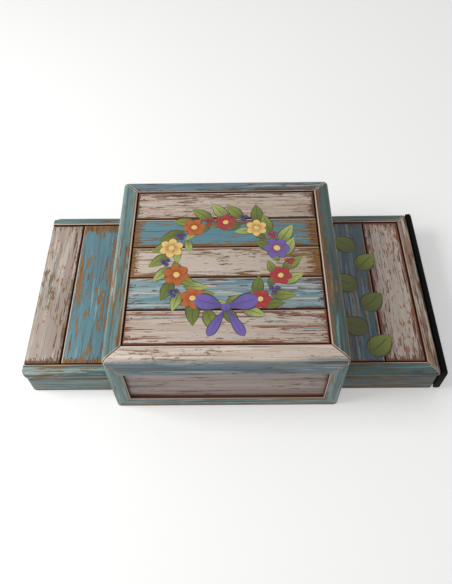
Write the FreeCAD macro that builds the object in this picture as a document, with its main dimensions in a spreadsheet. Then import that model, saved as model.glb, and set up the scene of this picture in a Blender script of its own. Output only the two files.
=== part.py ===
import FreeCAD, Part
import math
import operator
import os
from types import SimpleNamespace

import Sketcher

# A toy box of painted planks with a jack inside: a square tower with a hinged lid, a lower wing on each side,
# a jack on a conical spring in the tower, and a pull bar at the right end that draws a bolt out of the lid.
# Millimetres. +X is right, +Y is back, +Z is up, and the origin is the middle of the tower's underside.

LID_PLANKS = 5
KNUCKLES = 3
SPRING_TURNS = 5
FULL_TURN = 360.0
# The largest share of a board's thickness that a rounding takes, on one face alone or on both faces
ONE_FACE_SHARE = 0.9
BOTH_FACES_SHARE = 0.48

SIZES = {
    # Tower
    "tower_width": 194.0,
    "tower_depth": 194.0,
    "tower_height": 80.5,
    "wall_thickness": 9.0,
    "floor_thickness": 6.0,
    "front_board_thickness": 6.0,
    "front_rail_height": 23.3,
    "front_stile_width": 14.5,
    "foot_rail_height": 14.5,
    "frame_edge_radius": 1.0,
    "field_depth": 2.5,
    "field_margin": 14.5,
    # Lid
    "lid_thickness": 9.0,
    "lid_gap": 0.4,
    "lid_rail_width": 14.5,
    "lid_edge_radius": 5.0,
    "lid_backing_thickness": 4.0,
    "lid_plank_drop": 0.5,
    "lid_plank_gap": 1.3,
    # Wings
    "wing_height": 31.0,
    "wing_left_reach": 78.3,
    "wing_right_reach": 85.3,
    "wing_setback": 14.2,
    "wing_top_thickness": 8.0,
    "wing_deck_thickness": 3.5,
    "wing_plank_drop": 0.4,
    "wing_plank_gap": 1.3,
    "wing_rail_width": 10.5,
    "wing_edge_radius": 3.7,
    "wing_overhang": 1.2,
    "wing_wall_thickness": 6.0,
    "wing_floor_thickness": 4.0,
    "left_outer_plank_width": 31.0,
    "right_outer_plank_width": 33.5,
    "ledger_width": 8.0,
    "ledger_height": 6.0,
    # Hinges and screws
    "hinge_inset": 37.0,
    "hinge_length": 30.0,
    "hinge_leaf_depth": 8.0,
    "hinge_leaf_thickness": 1.2,
    "hinge_gap": 0.3,
    "knuckle_radius": 2.5,
    "knuckle_gap": 0.2,
    "hinge_pin_radius": 1.2,
    "hinge_pin_clearance": 0.05,
    "hinge_screw_spacing": 18.0,
    "mortise_clearance": 0.1,
    "screw_head_radius": 1.8,
    "screw_head_depth": 0.7,
    "screw_shank_radius": 0.9,
    "screw_length": 5.0,
    "screw_clearance": 0.05,
    # Release
    "bar_gap": 0.3,
    "bar_thickness": 5.3,
    "bar_lift": 2.0,
    "bar_edge_radius": 2.4,
    "bar_socket_depth": 3.0,
    "socket_clearance": 0.05,
    "rod_radius": 3.0,
    "rod_floor_gap": 2.5,
    "rod_inset": 42.0,
    "rod_clearance": 0.2,
    "rod_nose_length": 3.0,
    "dowel_radius": 2.5,
    "dowel_inset": 16.0,
    "dowel_reach": 20.0,
    "strap_thickness": 2.5,
    "strap_width": 12.0,
    "strap_wall_gap": 4.5,
    "strap_foot_length": 12.0,
    "strap_foot_thickness": 2.0,
    "strap_screw_spacing": 6.0,
    "strap_screw_tip_gap": 0.5,
    "eye_clearance": 0.5,
    # Jack
    "plate_radius": 36.0,
    "plate_thickness": 4.0,
    "spring_rest_height": 11.0,
    "spring_base_radius": 31.0,
    "spring_top_radius": 17.0,
    "spring_wire_radius": 1.0,
    "spring_seat_gap": 0.15,
    "body_radius": 28.0,
    "body_rim_height": 3.0,
    "neck_radius": 9.0,
    "neck_length": 4.0,
    "ruff_radius": 24.0,
    "ruff_thickness": 3.0,
    "ruff_clearance": 0.3,
    "head_radius": 16.0,
    "head_flat_depth": 3.0,
    "nose_radius": 3.2,
    "cap_thickness": 2.5,
    "cap_clearance": 0.2,
    "cap_brim_height": 4.0,
    "cap_headroom": 1.5,
    "horn_base_radius": 7.0,
    "horn_tip_radius": 2.5,
    "horn_length": 26.0,
    "horn_root": 9.0,
    "horn_droop": 12.0,
    "bell_radius": 3.6,
}

OPERATIONS = {"+": operator.add, "-": operator.sub, "*": operator.mul, "/": operator.truediv}


class Size:
    """A length as a formula over the sheet's cells, with the number of millimetres it comes to."""

    def __init__(self, formula, number):
        self.formula = formula
        self.number = number

    def __add__(self, other):
        return combine(self, "+", other)

    def __sub__(self, other):
        return combine(self, "-", other)

    def __mul__(self, other):
        return combine(self, "*", other)

    def __truediv__(self, other):
        return combine(self, "/", other)

    def __neg__(self):
        return combine(0, "-", self)


def as_size(value):
    """A plain number as a Size, and a Size as it is."""
    return value if isinstance(value, Size) else Size(str(value), float(value))


def combine(left, sign, right):
    """Two sizes joined by an arithmetic sign."""
    left = as_size(left)
    right = as_size(right)
    return Size(f"({left.formula} {sign} {right.formula})", OPERATIONS[sign](left.number, right.number))


def least(left, right):
    """The smaller of two sizes."""
    return Size(f"min({left.formula}; {right.formula})", min(left.number, right.number))


document = FreeCAD.newDocument("PlankToyBox")
sheet = document.addObject("Spreadsheet::Sheet", "Sizes")
for row, (alias, number) in enumerate(SIZES.items(), start=1):
    sheet.set(f"A{row}", alias)
    sheet.set(f"B{row}", str(number))
    sheet.setAlias(f"B{row}", alias)
document.recompute()

mm = SimpleNamespace(**{alias: Size(f"Sizes.{alias}", number) for alias, number in SIZES.items()})
ZERO = as_size(0)
kept = []


def keep(piece):
    """Lists a finished sub-part for export."""
    kept.append(piece)
    return piece


def bind(piece, name, size):
    """Ties a property of a piece to a size."""
    piece.setExpression(name, as_size(size).formula)


def place(piece, position):
    """Ties a piece's place to three sizes."""
    for axis, size in zip("xyz", position):
        bind(piece, f"Placement.Base.{axis}", size)


def add(kind, label):
    """A new object of the document under its own label."""
    piece = document.addObject(kind, label)
    piece.Label = label
    return piece


def board(label, x, y, z):
    """A square-edged board between a low and a high limit on each axis."""
    piece = add("Part::Box", label)
    for side, (low, high) in zip(("Length", "Width", "Height"), (x, y, z)):
        bind(piece, side, high - low)
    place(piece, (x[0], y[0], z[0]))
    return piece


def cylinder(label, direction, radius, length, start):
    """A round bar of a length, from a start point along a direction."""
    piece = add("Part::Cylinder", label)
    piece.Placement = FreeCAD.Placement(FreeCAD.Vector(), FreeCAD.Rotation(UP, direction))
    bind(piece, "Radius", radius)
    bind(piece, "Height", length)
    place(piece, start)
    return piece


def ball(label, radius, centre):
    """A sphere about a centre."""
    piece = add("Part::Sphere", label)
    bind(piece, "Radius", radius)
    place(piece, centre)
    return piece


def joined(label, pieces):
    """Several shapes made into one solid."""
    piece = add("Part::MultiFuse", label)
    piece.Shapes = pieces
    return piece


def group(label, pieces):
    """Several separate solids under one name."""
    piece = add("Part::Compound", label)
    piece.Links = pieces
    return piece


def cut(label, base, tools):
    """A shape with other shapes taken out of it."""
    piece = add("Part::Cut", label)
    piece.Base = base
    piece.Tool = tools[0] if len(tools) == 1 else group(f"{label}_cuts", tools)
    return piece


def origin_plane(body, role):
    """One of a body's own origin planes."""
    return next(feature for feature in body.Origin.OriginFeatures if feature.Role == role)


def outline_sketch(body, role, outline):
    """A closed outline of straight lines, each corner tied to its two sizes."""
    sketch = body.newObject("Sketcher::SketchObject", f"{body.Name}_outline")
    sketch.AttachmentSupport = [(origin_plane(body, role), "")]
    sketch.MapMode = "FlatFace"
    corners = [FreeCAD.Vector(across.number, along.number, 0) for across, along in outline]
    for index, corner in enumerate(corners):
        sketch.addGeometry(Part.LineSegment(corner, corners[(index + 1) % len(corners)]))
    for index in range(len(corners)):
        sketch.addConstraint(Sketcher.Constraint("Coincident", index, 2, (index + 1) % len(corners), 1))
    for index, corner in enumerate(outline):
        for axis, size in zip("XY", corner):
            pinned = Sketcher.Constraint(f"Distance{axis}", -1, 1, index, 1, size.number)
            bind(sketch, f"Constraints[{sketch.addConstraint(pinned)}]", size)
    return sketch


def edge_between(shape, start, end):
    """The name of the edge that joins two points."""
    tolerance = 1e-4
    for index, edge in enumerate(shape.Edges, start=1):
        first, last = edge.Vertexes[0].Point, edge.Vertexes[-1].Point
        if min(first.distanceToPoint(start) + last.distanceToPoint(end),
               first.distanceToPoint(end) + last.distanceToPoint(start)) < tolerance:
            return f"Edge{index}"
    raise ValueError(f"no edge between {start} and {end}")


def shaped_board(label, role, outline, depth, position, near_round=None, far_round=None, rounded_sides=1):
    """A board cut to an outline, with its first sides rounded on the near face, the far face or both.

    A board drawn on the XY plane grows up from its place, and one on the XZ plane grows forward from it.
    """
    body = add("PartDesign::Body", label)
    sketch = outline_sketch(body, role, outline)
    pad = body.newObject("PartDesign::Pad", f"{label}_pad")
    pad.Profile = sketch
    bind(pad, "Length", depth)
    place(body, position)
    document.recompute()
    rounds = [(ZERO, near_round), (depth, far_round)]
    for level, radius in rounds:
        if radius is None:
            continue
        last = body.Tip
        names = []
        for side in range(rounded_sides):
            ends = (outline[side], outline[(side + 1) % len(outline)])
            names.append(edge_between(last.Shape, *(flat_point(role, corner, level) for corner in ends)))
        fillet = body.newObject("PartDesign::Fillet", f"{label}_round")
        fillet.Base = (last, names)
        bind(fillet, "Radius", radius)
        document.recompute()
    return body


def flat_point(role, corner, level):
    """A corner of an outline in its body's own coordinates, at a depth of the pad."""
    across, along = (size.number for size in corner)
    return {
        "XY_Plane": FreeCAD.Vector(across, along, level.number),
        "XZ_Plane": FreeCAD.Vector(across, -level.number, along),
    }[role]


def turned(label, profile, height):
    """A turned piece from a profile of radii and heights, standing at a height on the Z axis."""
    body = add("PartDesign::Body", label)
    sketch = outline_sketch(body, "XZ_Plane", profile)
    revolution = body.newObject("PartDesign::Revolution", f"{label}_turning")
    revolution.Profile = sketch
    revolution.ReferenceAxis = (sketch, ["V_Axis"])
    revolution.Angle = FULL_TURN
    bind(body, "Placement.Base.z", height)
    return body


UP = FreeCAD.Vector(0, 0, 1)
DOWN = FreeCAD.Vector(0, 0, -1)
RIGHT = FreeCAD.Vector(1, 0, 0)
FORWARD = FreeCAD.Vector(0, -1, 0)

# Main planes of the tower and its lid
half_width = mm.tower_width / 2
half_depth = mm.tower_depth / 2
lid_bottom = mm.tower_height - mm.lid_thickness
case_top = lid_bottom - mm.lid_gap
inside_x = half_width - mm.wall_thickness
inside_y = half_depth - mm.wall_thickness

# Hinge axis, just behind the tower at the parting line
axis_y = half_depth + mm.hinge_gap + mm.knuckle_radius
axis_z = case_top + mm.lid_gap / 2
leaf_front = half_depth - mm.hinge_leaf_depth
hinge_reach = half_width - mm.hinge_inset
hinge_centres = {"left": -hinge_reach, "right": hinge_reach}


def screw(label, position, direction, length, clearance=ZERO):
    """A countersunk screw from the middle of its head's face, or with a clearance the hole it takes."""
    head_radius = mm.screw_head_radius + clearance
    shank_radius = mm.screw_shank_radius + clearance
    head = cylinder(f"{label}_head", direction, head_radius, mm.screw_head_depth, position)
    shank = cylinder(f"{label}_shank", direction, shank_radius, length, position)
    return joined(label, [head, shank])


def screws_with_holes(label, positions, direction, length):
    """A row of equal screws and the holes that they take."""
    screws = []
    holes = []
    for index, position in enumerate(positions, start=1):
        screws.append(screw(f"{label}_{index}", position, direction, length))
        holes.append(screw(f"{label}_{index}_hole", position, direction, length, mm.screw_clearance))
    return screws, holes


def hinge_screw_places(level):
    """Two screw places in each hinge leaf at a height."""
    middle = half_depth - mm.hinge_leaf_depth / 2
    offsets = (-mm.hinge_screw_spacing / 2, mm.hinge_screw_spacing / 2)
    return [(centre + offset, middle, level) for centre in hinge_centres.values() for offset in offsets]


case_screws, case_screw_holes = screws_with_holes(
    "case_screw", hinge_screw_places(case_top), DOWN, mm.screw_length)
lid_screws, lid_screw_holes = screws_with_holes(
    "lid_screw", hinge_screw_places(lid_bottom), UP, mm.screw_length)


def hinge_leaf(label, centre, low, high, own_knuckles, holes):
    """One leaf of a butt hinge: its plate and its own knuckles, bored for the pin and holed for screws."""
    start = centre - mm.hinge_length / 2
    pitch = (mm.hinge_length + mm.knuckle_gap) / KNUCKLES
    across = (start, start + mm.hinge_length)
    pieces = [board(f"{label}_plate", across, (leaf_front, half_depth), (low, high))]
    for number in own_knuckles:
        left = start + pitch * number
        right = left + pitch - mm.knuckle_gap
        pieces.append(board(f"{label}_tongue_{number}", (left, right), (half_depth, axis_y), (low, high)))
        pieces.append(cylinder(f"{label}_knuckle_{number}", RIGHT, mm.knuckle_radius,
                               right - left, (left, axis_y, axis_z)))
    bore = cylinder(f"{label}_bore", RIGHT, mm.hinge_pin_radius + mm.hinge_pin_clearance,
                    mm.hinge_length, (start, axis_y, axis_z))
    keep(cut(label, joined(f"{label}_blank", pieces), [bore] + holes))


def mortise(label, centre, low, high):
    """The recess that a hinge leaf lies in."""
    room = mm.mortise_clearance
    half = mm.hinge_length / 2 + room
    return board(label, (centre - half, centre + half), (leaf_front - room, half_depth + room), (low, high))


def build_hinges():
    """Two butt hinges, each with a leaf on the case, a leaf under the lid and a pin."""
    pins = []
    thickness = mm.hinge_leaf_thickness
    for index, (side, centre) in enumerate(hinge_centres.items()):
        own_holes = slice(2 * index, 2 * index + 2)
        hinge_leaf(f"hinge_{side}_case_leaf", centre, case_top - thickness, case_top,
                   range(0, KNUCKLES, 2), case_screw_holes[own_holes])
        hinge_leaf(f"hinge_{side}_lid_leaf", centre, lid_bottom, lid_bottom + thickness,
                   range(1, KNUCKLES, 2), lid_screw_holes[own_holes])
        pins.append(cylinder(f"hinge_{side}_pin", RIGHT, mm.hinge_pin_radius, mm.hinge_length,
                             (centre - mm.hinge_length / 2, axis_y, axis_z)))
    keep(group("hinge_pins", pins))


# Main planes of the wings
left_out = -half_width - mm.wing_left_reach
right_out = half_width + mm.wing_right_reach
wing_front = -half_depth + mm.wing_setback
wing_back = half_depth
wing_under = mm.wing_height - mm.wing_top_thickness
rail_front = wing_front + mm.wing_rail_width
rail_back = wing_back - mm.wing_rail_width
wall_front = wing_front + mm.wing_overhang
wall_back = wing_back - mm.wing_overhang
room_front = wall_front + mm.wing_wall_thickness
room_back = wall_back - mm.wing_wall_thickness
end_wall_outside = right_out - mm.wing_overhang
end_wall_inside = end_wall_outside - mm.wing_wall_thickness
dowel_places = (wing_front + mm.dowel_inset, wing_back - mm.dowel_inset)

# Bolt rod and the strap that hangs from the lid to meet it
rod_y = wing_front + mm.rod_inset
rod_z = mm.floor_thickness + mm.strap_width / 2 + mm.rod_floor_gap
strap_right = inside_x - mm.strap_wall_gap
strap_left = strap_right - mm.strap_thickness
rod_start = strap_left - mm.rod_nose_length
strap_foot_bottom = lid_bottom - mm.strap_foot_thickness
strap_screw_length = mm.strap_foot_thickness + mm.lid_backing_thickness - mm.strap_screw_tip_gap


def strap_screw_places():
    """Two screw places in the strap's foot, side by side under the backing board."""
    middle = strap_left - mm.strap_foot_length / 2
    offsets = (-mm.strap_screw_spacing / 2, mm.strap_screw_spacing / 2)
    return [(middle + offset, rod_y, strap_foot_bottom) for offset in offsets]


strap_screws, strap_screw_holes = screws_with_holes(
    "strap_screw", strap_screw_places(), UP, strap_screw_length)


def build_strap():
    """The steel strap under the lid: a foot, a long plate and a round eye for the bolt."""
    half = mm.strap_width / 2
    across = (rod_y - half, rod_y + half)
    thickness = mm.strap_thickness
    foot = board("strap_foot", (strap_left - mm.strap_foot_length, strap_right), across,
                 (strap_foot_bottom, lid_bottom))
    plate = board("strap_plate", (strap_left, strap_right), across, (rod_z, lid_bottom))
    eye_place = (strap_left, rod_y, rod_z)
    eye_rim = cylinder("strap_eye_rim", RIGHT, half, thickness, eye_place)
    eye = cylinder("strap_eye", RIGHT, mm.rod_radius + mm.eye_clearance, thickness, eye_place)
    keep(cut("lid_strap", joined("strap_blank", [foot, plate, eye_rim]), [eye] + strap_screw_holes))


def build_tower():
    """Floor, four walls and the mitred frame on the tower's front."""
    front_board_front = -half_depth + mm.wall_thickness - mm.front_board_thickness
    keep(board("bottom_board", (-inside_x, inside_x), (-inside_y, inside_y), (ZERO, mm.floor_thickness)))
    keep(board("front_board", (-half_width, half_width), (front_board_front, -inside_y), (ZERO, case_top)))
    rail_line = mm.tower_height - mm.front_rail_height
    build_back_board(rail_line)
    build_side_walls(rail_line)
    build_front_frame(front_board_front, rail_line)


def build_back_board(rail_line):
    """The back wall, with a sunk field outside and mortises for the hinge leaves."""
    field = board("back_field", (-half_width + mm.field_margin, half_width - mm.field_margin),
                  (half_depth - mm.field_depth, half_depth), (mm.field_margin, rail_line))
    recesses = [mortise(f"back_board_{side}_mortise", centre, case_top - mm.hinge_leaf_thickness, case_top)
                for side, centre in hinge_centres.items()]
    blank = board("back_board_blank", (-half_width, half_width), (inside_y, half_depth), (ZERO, case_top))
    keep(cut("back_board", blank, [field] + recesses + case_screw_holes))


def build_side_walls(rail_line):
    """The left and right walls, each with a sunk field above its wing, and the bolt's hole on the right."""
    along = (-half_depth + mm.field_margin, half_depth - mm.field_margin)
    up = (mm.wing_height + mm.wing_rail_width, rail_line)
    left_field = board("left_field", (-half_width, -half_width + mm.field_depth), along, up)
    right_field = board("right_field", (half_width - mm.field_depth, half_width), along, up)
    left_blank = board("left_wall_blank", (-half_width, -inside_x), (-inside_y, inside_y), (ZERO, case_top))
    right_blank = board("right_wall_blank", (inside_x, half_width), (-inside_y, inside_y), (ZERO, case_top))
    rod_hole = cylinder("right_wall_rod_hole", RIGHT, mm.rod_radius + mm.rod_clearance,
                        mm.wall_thickness, (inside_x, rod_y, rod_z))
    keep(cut("left_wall", left_blank, [left_field]))
    keep(cut("right_wall", right_blank, [right_field, rod_hole]))


def build_front_frame(back, rail_line):
    """Top rail, bottom rail and two stiles on the tower's front, mitred towards the tower's own corners."""
    depth = back + half_depth
    inner = half_width - mm.front_stile_width
    slope = mm.front_stile_width / mm.front_rail_height
    top_end = half_width - slope * (mm.tower_height - case_top)
    foot = mm.foot_rail_height
    outlines = {
        "front_top_rail": [
            (inner, rail_line), (-inner, rail_line), (-top_end, case_top), (top_end, case_top)],
        "front_bottom_rail": [
            (-inner, foot), (inner, foot), (half_width, ZERO), (-half_width, ZERO)],
        "front_left_stile": [
            (-inner, rail_line), (-inner, foot), (-half_width, ZERO),
            (-half_width, case_top), (-top_end, case_top)],
        "front_right_stile": [
            (inner, foot), (inner, rail_line), (top_end, case_top),
            (half_width, case_top), (half_width, ZERO)],
    }
    for label, outline in outlines.items():
        keep(shaped_board(label, "XZ_Plane", outline, depth, (ZERO, back, ZERO),
                          far_round=least(mm.frame_edge_radius, depth / 2)))


def mitred_ring(half_x, half_y, width):
    """The outlines of four rails mitred round a rectangle about the origin, outer side first."""
    outer = [(-half_x, -half_y), (half_x, -half_y), (half_x, half_y), (-half_x, half_y)]
    inner_x, inner_y = half_x - width, half_y - width
    inner = [(-inner_x, -inner_y), (inner_x, -inner_y), (inner_x, inner_y), (-inner_x, inner_y)]
    rails = {}
    for index, name in enumerate(("front", "right", "back", "left")):
        following = (index + 1) % len(outer)
        rails[name] = [outer[index], outer[following], inner[following], inner[index]]
    return rails


def build_lid():
    """The lid: mitred rails round a backing board with planks on it, and the recesses for its hinges."""
    place_of_rails = (ZERO, ZERO, lid_bottom)
    edge = least(mm.lid_edge_radius, mm.lid_thickness * ONE_FACE_SHARE)
    for side, outline in mitred_ring(half_width, half_depth, mm.lid_rail_width).items():
        label = f"lid_{side}_rail"
        name = label if side != "back" else f"{label}_blank"
        rail = shaped_board(name, "XY_Plane", outline, mm.lid_thickness, place_of_rails, far_round=edge)
        if side == "back":
            leaf_top = lid_bottom + mm.hinge_leaf_thickness
            recesses = [mortise(f"{label}_{end}_mortise", centre, lid_bottom, leaf_top)
                        for end, centre in hinge_centres.items()]
            rail = cut(label, rail, recesses + lid_screw_holes)
        keep(rail)
    inner_x = half_width - mm.lid_rail_width
    inner_y = half_depth - mm.lid_rail_width
    plank_bottom = lid_bottom + mm.lid_backing_thickness
    backing = board("lid_backing_blank", (-inner_x, inner_x), (-inner_y, inner_y), (lid_bottom, plank_bottom))
    keep(cut("lid_backing", backing, strap_screw_holes))
    pitch = (inner_y * 2 - mm.lid_plank_gap) / LID_PLANKS
    sides = (-inner_x + mm.lid_plank_gap, inner_x - mm.lid_plank_gap)
    levels = (plank_bottom, mm.tower_height - mm.lid_plank_drop)
    for number in range(LID_PLANKS):
        front = -inner_y + mm.lid_plank_gap + pitch * number
        keep(board(f"lid_plank_{number + 1}", sides, (front, front + pitch - mm.lid_plank_gap), levels))


def build_wing_base(side, outside, inside, tower):
    """The walls, floor and ledger under a wing's top, between its end wall's two faces and the tower."""
    def span(first, second):
        return (first, second) if first.number < second.number else (second, first)

    sign = 1 if outside.number > 0 else -1
    levels = (ZERO, wing_under)
    keep(board(f"{side}_wing_front", span(outside, tower), (wall_front, room_front), levels))
    keep(board(f"{side}_wing_back", span(outside, tower), (room_back, wall_back), levels))
    keep(board(f"{side}_wing_floor", span(inside, tower), (room_front, room_back),
               (ZERO, mm.wing_floor_thickness)))
    build_ledger(side, span(tower, tower + mm.ledger_width * sign))
    return board(f"{side}_wing_end_blank" if side == "right" else f"{side}_wing_end",
                 span(outside, inside), (room_front, room_back), levels)


def build_ledger(side, across):
    """The strip on the tower's side that carries a wing's deck, notched on the right for the bolt rod."""
    levels = (wing_under - mm.ledger_height, wing_under)
    label = f"{side}_wing_ledger"
    if side == "left":
        keep(board(label, across, (room_front, room_back), levels))
        return
    blank = board(f"{label}_blank", across, (room_front, room_back), levels)
    notch = cylinder(f"{label}_notch", RIGHT, mm.rod_radius + mm.rod_clearance, mm.ledger_width,
                     (across[0], rod_y, rod_z))
    keep(cut(label, blank, [notch]))


def build_wing_planks(side, edges):
    """The planks on a wing's deck, between pairs of edges."""
    levels = (wing_under + mm.wing_deck_thickness, mm.wing_height - mm.wing_plank_drop)
    along = (rail_front + mm.wing_plank_gap, rail_back - mm.wing_plank_gap)
    for name, across in edges.items():
        keep(board(f"{side}_wing_{name}_plank", across, along, levels))


def build_wing_rails(side, outlines):
    """The rails round a wing's top, with bullnose outer edges."""
    edge = least(mm.wing_edge_radius, mm.wing_top_thickness * BOTH_FACES_SHARE)
    for name, outline in outlines.items():
        keep(shaped_board(f"{side}_wing_{name}_rail", "XY_Plane", outline, mm.wing_top_thickness,
                          (ZERO, ZERO, wing_under), near_round=edge, far_round=edge))


def build_left_wing():
    """The lower box on the tower's left: two planks between a front and a back rail."""
    tower = -half_width
    outside = left_out + mm.wing_overhang
    keep(build_wing_base("left", outside, outside + mm.wing_wall_thickness, tower))
    keep(board("left_wing_deck", (outside, tower), (rail_front, rail_back),
               (wing_under, wing_under + mm.wing_deck_thickness)))
    build_wing_rails("left", {
        "front": [(left_out, wing_front), (tower, wing_front), (tower, rail_front), (left_out, rail_front)],
        "back": [(tower, wing_back), (left_out, wing_back), (left_out, rail_back), (tower, rail_back)],
    })
    joint = left_out + mm.left_outer_plank_width
    build_wing_planks("left", {"outer": (left_out, joint), "inner": (joint + mm.wing_plank_gap, tower)})


def build_right_wing():
    """The lower box on the tower's right: two planks inside three rails, and holes for the release."""
    tower = half_width
    holes = [cylinder("rod_hole", RIGHT, mm.rod_radius + mm.rod_clearance, mm.wing_wall_thickness,
                      (end_wall_inside, rod_y, rod_z))]
    for index, along in enumerate(dowel_places, start=1):
        holes.append(cylinder(f"dowel_hole_{index}", RIGHT, mm.dowel_radius + mm.rod_clearance,
                              mm.wing_wall_thickness, (end_wall_inside, along, rod_z)))
    keep(cut("right_wing_end", build_wing_base("right", end_wall_outside, end_wall_inside, tower), holes))
    rail_end = right_out - mm.wing_rail_width
    keep(board("right_wing_deck", (tower, rail_end), (rail_front, rail_back),
               (wing_under, wing_under + mm.wing_deck_thickness)))
    front_corner = (right_out, wing_front)
    back_corner = (right_out, wing_back)
    front_mitre = (rail_end, rail_front)
    back_mitre = (rail_end, rail_back)
    build_wing_rails("right", {
        "front": [(tower, wing_front), front_corner, front_mitre, (tower, rail_front)],
        "back": [back_corner, (tower, wing_back), (tower, rail_back), back_mitre],
        "end": [front_corner, back_corner, back_mitre, front_mitre],
    })
    outer_end = rail_end - mm.wing_plank_gap
    joint = outer_end - mm.right_outer_plank_width
    build_wing_planks("right", {"outer": (joint, outer_end), "inner": (tower, joint - mm.wing_plank_gap)})


def build_release():
    """The pull bar along the right end, its bolt rod and the two dowels that keep it square."""
    bar_left = right_out + mm.bar_gap
    bar_right = bar_left + mm.bar_thickness
    edge = mm.bar_edge_radius
    outline = [(bar_right, wing_front), (bar_right, wing_back),
               (bar_left, wing_back), (bar_left, wing_front)]
    blank = shaped_board("release_bar_blank", "XY_Plane", outline, mm.wing_height - mm.bar_lift,
                         (ZERO, ZERO, mm.bar_lift), near_round=edge, far_round=edge)
    socket_end = bar_left + mm.bar_socket_depth
    places = [("rod", mm.rod_radius, rod_y, rod_start)]
    dowel_start = end_wall_inside - mm.dowel_reach
    for index, along in enumerate(dowel_places, start=1):
        places.append((f"dowel_{index}", mm.dowel_radius, along, dowel_start))
    sockets = []
    bars = []
    for name, radius, along, start in places:
        sockets.append(cylinder(f"{name}_socket", RIGHT, radius + mm.socket_clearance, mm.bar_socket_depth,
                                (bar_left, along, rod_z)))
        bars.append(cylinder("release_rod" if name == "rod" else name, RIGHT, radius, socket_end - start,
                             (start, along, rod_z)))
    keep(cut("release_bar", blank, sockets))
    keep(bars[0])
    keep(group("release_dowels", bars[1:]))


# Heights of the jack's pieces, stacked from the floor to just under the lid
plate_top = mm.floor_thickness + mm.plate_thickness
body_bottom = plate_top + mm.spring_rest_height
head_centre = lid_bottom - mm.cap_headroom - mm.cap_thickness - mm.cap_clearance - mm.head_radius
body_top = head_centre - mm.head_radius + mm.head_flat_depth


def build_figure():
    """The jack: a turned body, a ruff, a round head with a nose, and a two-pointed cap with bells."""
    body_height = body_top - body_bottom
    shoulder = body_height - mm.neck_length
    body_profile = [(ZERO, ZERO), (mm.body_radius, ZERO), (mm.body_radius, mm.body_rim_height),
                    (mm.neck_radius, shoulder), (mm.neck_radius, body_height), (ZERO, body_height)]
    keep(turned("jack_body", body_profile, body_bottom))
    ruff_bottom = body_top - mm.ruff_clearance - mm.ruff_thickness
    ruff_inside = mm.neck_radius + mm.ruff_clearance
    ruff_profile = [(ruff_inside, ZERO), (mm.ruff_radius, ZERO),
                    (mm.ruff_radius, mm.ruff_thickness), (ruff_inside, mm.ruff_thickness)]
    keep(turned("jack_ruff", ruff_profile, ruff_bottom))
    centre = (ZERO, ZERO, head_centre)
    reach = mm.head_radius + mm.nose_radius
    below_head = board("head_flat", (-reach, reach), (-reach, reach), (head_centre - reach, body_top))
    nose = ball("head_nose", mm.nose_radius, (ZERO, -mm.head_radius, head_centre))
    head = joined("head_blank", [ball("head_ball", mm.head_radius, centre), nose])
    keep(cut("jack_head", head, [below_head]))
    build_cap(centre)


def build_cap(centre):
    """A cap over the top of the head, with a drooping horn on each side and a bell at each tip."""
    hollow = ball("cap_hollow", mm.head_radius + mm.cap_clearance, centre)
    outer = mm.head_radius + mm.cap_clearance + mm.cap_thickness
    below_brim = board("cap_below_brim", (-outer, outer), (-outer, outer),
                       (head_centre - outer, head_centre + mm.cap_brim_height))
    pieces = [cut("cap_dome", ball("cap_ball", outer, centre), [below_brim])]
    bells = []
    for side, sign in (("left", -1), ("right", 1)):
        droop = math.radians(SIZES["horn_droop"])
        direction = FreeCAD.Vector(sign * math.cos(droop), 0, -math.sin(droop))
        root = (mm.horn_root * sign, ZERO, head_centre + mm.horn_root)
        pieces.append(horn(f"cap_{side}_horn", direction, root))
        reach = mm.horn_length + mm.bell_radius
        tip = tuple(start + reach * way for start, way in zip(root, direction))
        bells.append(ball(f"cap_{side}_bell", mm.bell_radius, tip))
    keep(cut("jack_cap", joined("cap_blank", pieces), [hollow]))
    keep(group("jack_bells", bells))


def horn(label, direction, root):
    """A tapering horn of the cap from its root along a direction."""
    piece = add("Part::Cone", label)
    piece.Placement = FreeCAD.Placement(FreeCAD.Vector(), FreeCAD.Rotation(UP, direction))
    bind(piece, "Radius1", mm.horn_base_radius)
    bind(piece, "Radius2", mm.horn_tip_radius)
    bind(piece, "Height", mm.horn_length)
    place(piece, root)
    return piece


def spring_stations():
    """Points and directions along the spring's wire, one each quarter turn."""
    seat = mm.spring_seat_gap + mm.spring_wire_radius
    low = (plate_top + seat).number
    high = (body_bottom - seat).number
    base = SIZES["spring_base_radius"]
    taper = SIZES["spring_top_radius"] - base
    stations = []
    quarters = 4 * SPRING_TURNS
    turning = SPRING_TURNS * 2 * math.pi
    for quarter in range(quarters + 1):
        share = quarter / quarters
        angle = share * turning
        radius = base + taper * share
        out = FreeCAD.Vector(math.cos(angle), math.sin(angle), 0)
        around = FreeCAD.Vector(-math.sin(angle), math.cos(angle), 0)
        point = out * radius + UP * (low + (high - low) * share)
        heading = out * taper + around * (radius * turning) + UP * (high - low)
        stations.append((point, heading.normalize()))
    return stations


def arc_from(start, control, end):
    """The arc that leaves start towards the control point and arrives at end from it."""
    half_chord = (end - start) * 0.5
    middle = start + half_chord
    lean = control - middle
    slope = math.acos(half_chord.Length / (control - start).Length)
    rise = half_chord.Length * math.tan(slope / 2)
    return Part.Arc(start, middle + lean * (rise / lean.Length), end).toShape()


def biarc(first, second):
    """Two tangent arcs that join two stations."""
    (start, leaving), (end, arriving) = first, second
    chord = end - start
    both = leaving + arriving
    square = 2 * (leaving.dot(arriving) - 1)
    linear = chord.dot(both)
    reach = (linear - math.sqrt(linear * linear - square * chord.dot(chord))) / square
    first_control = start + leaving * reach
    second_control = end - arriving * reach
    meeting = (first_control + second_control) * 0.5
    return [arc_from(start, first_control, meeting), arc_from(meeting, second_control, end)]


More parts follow.
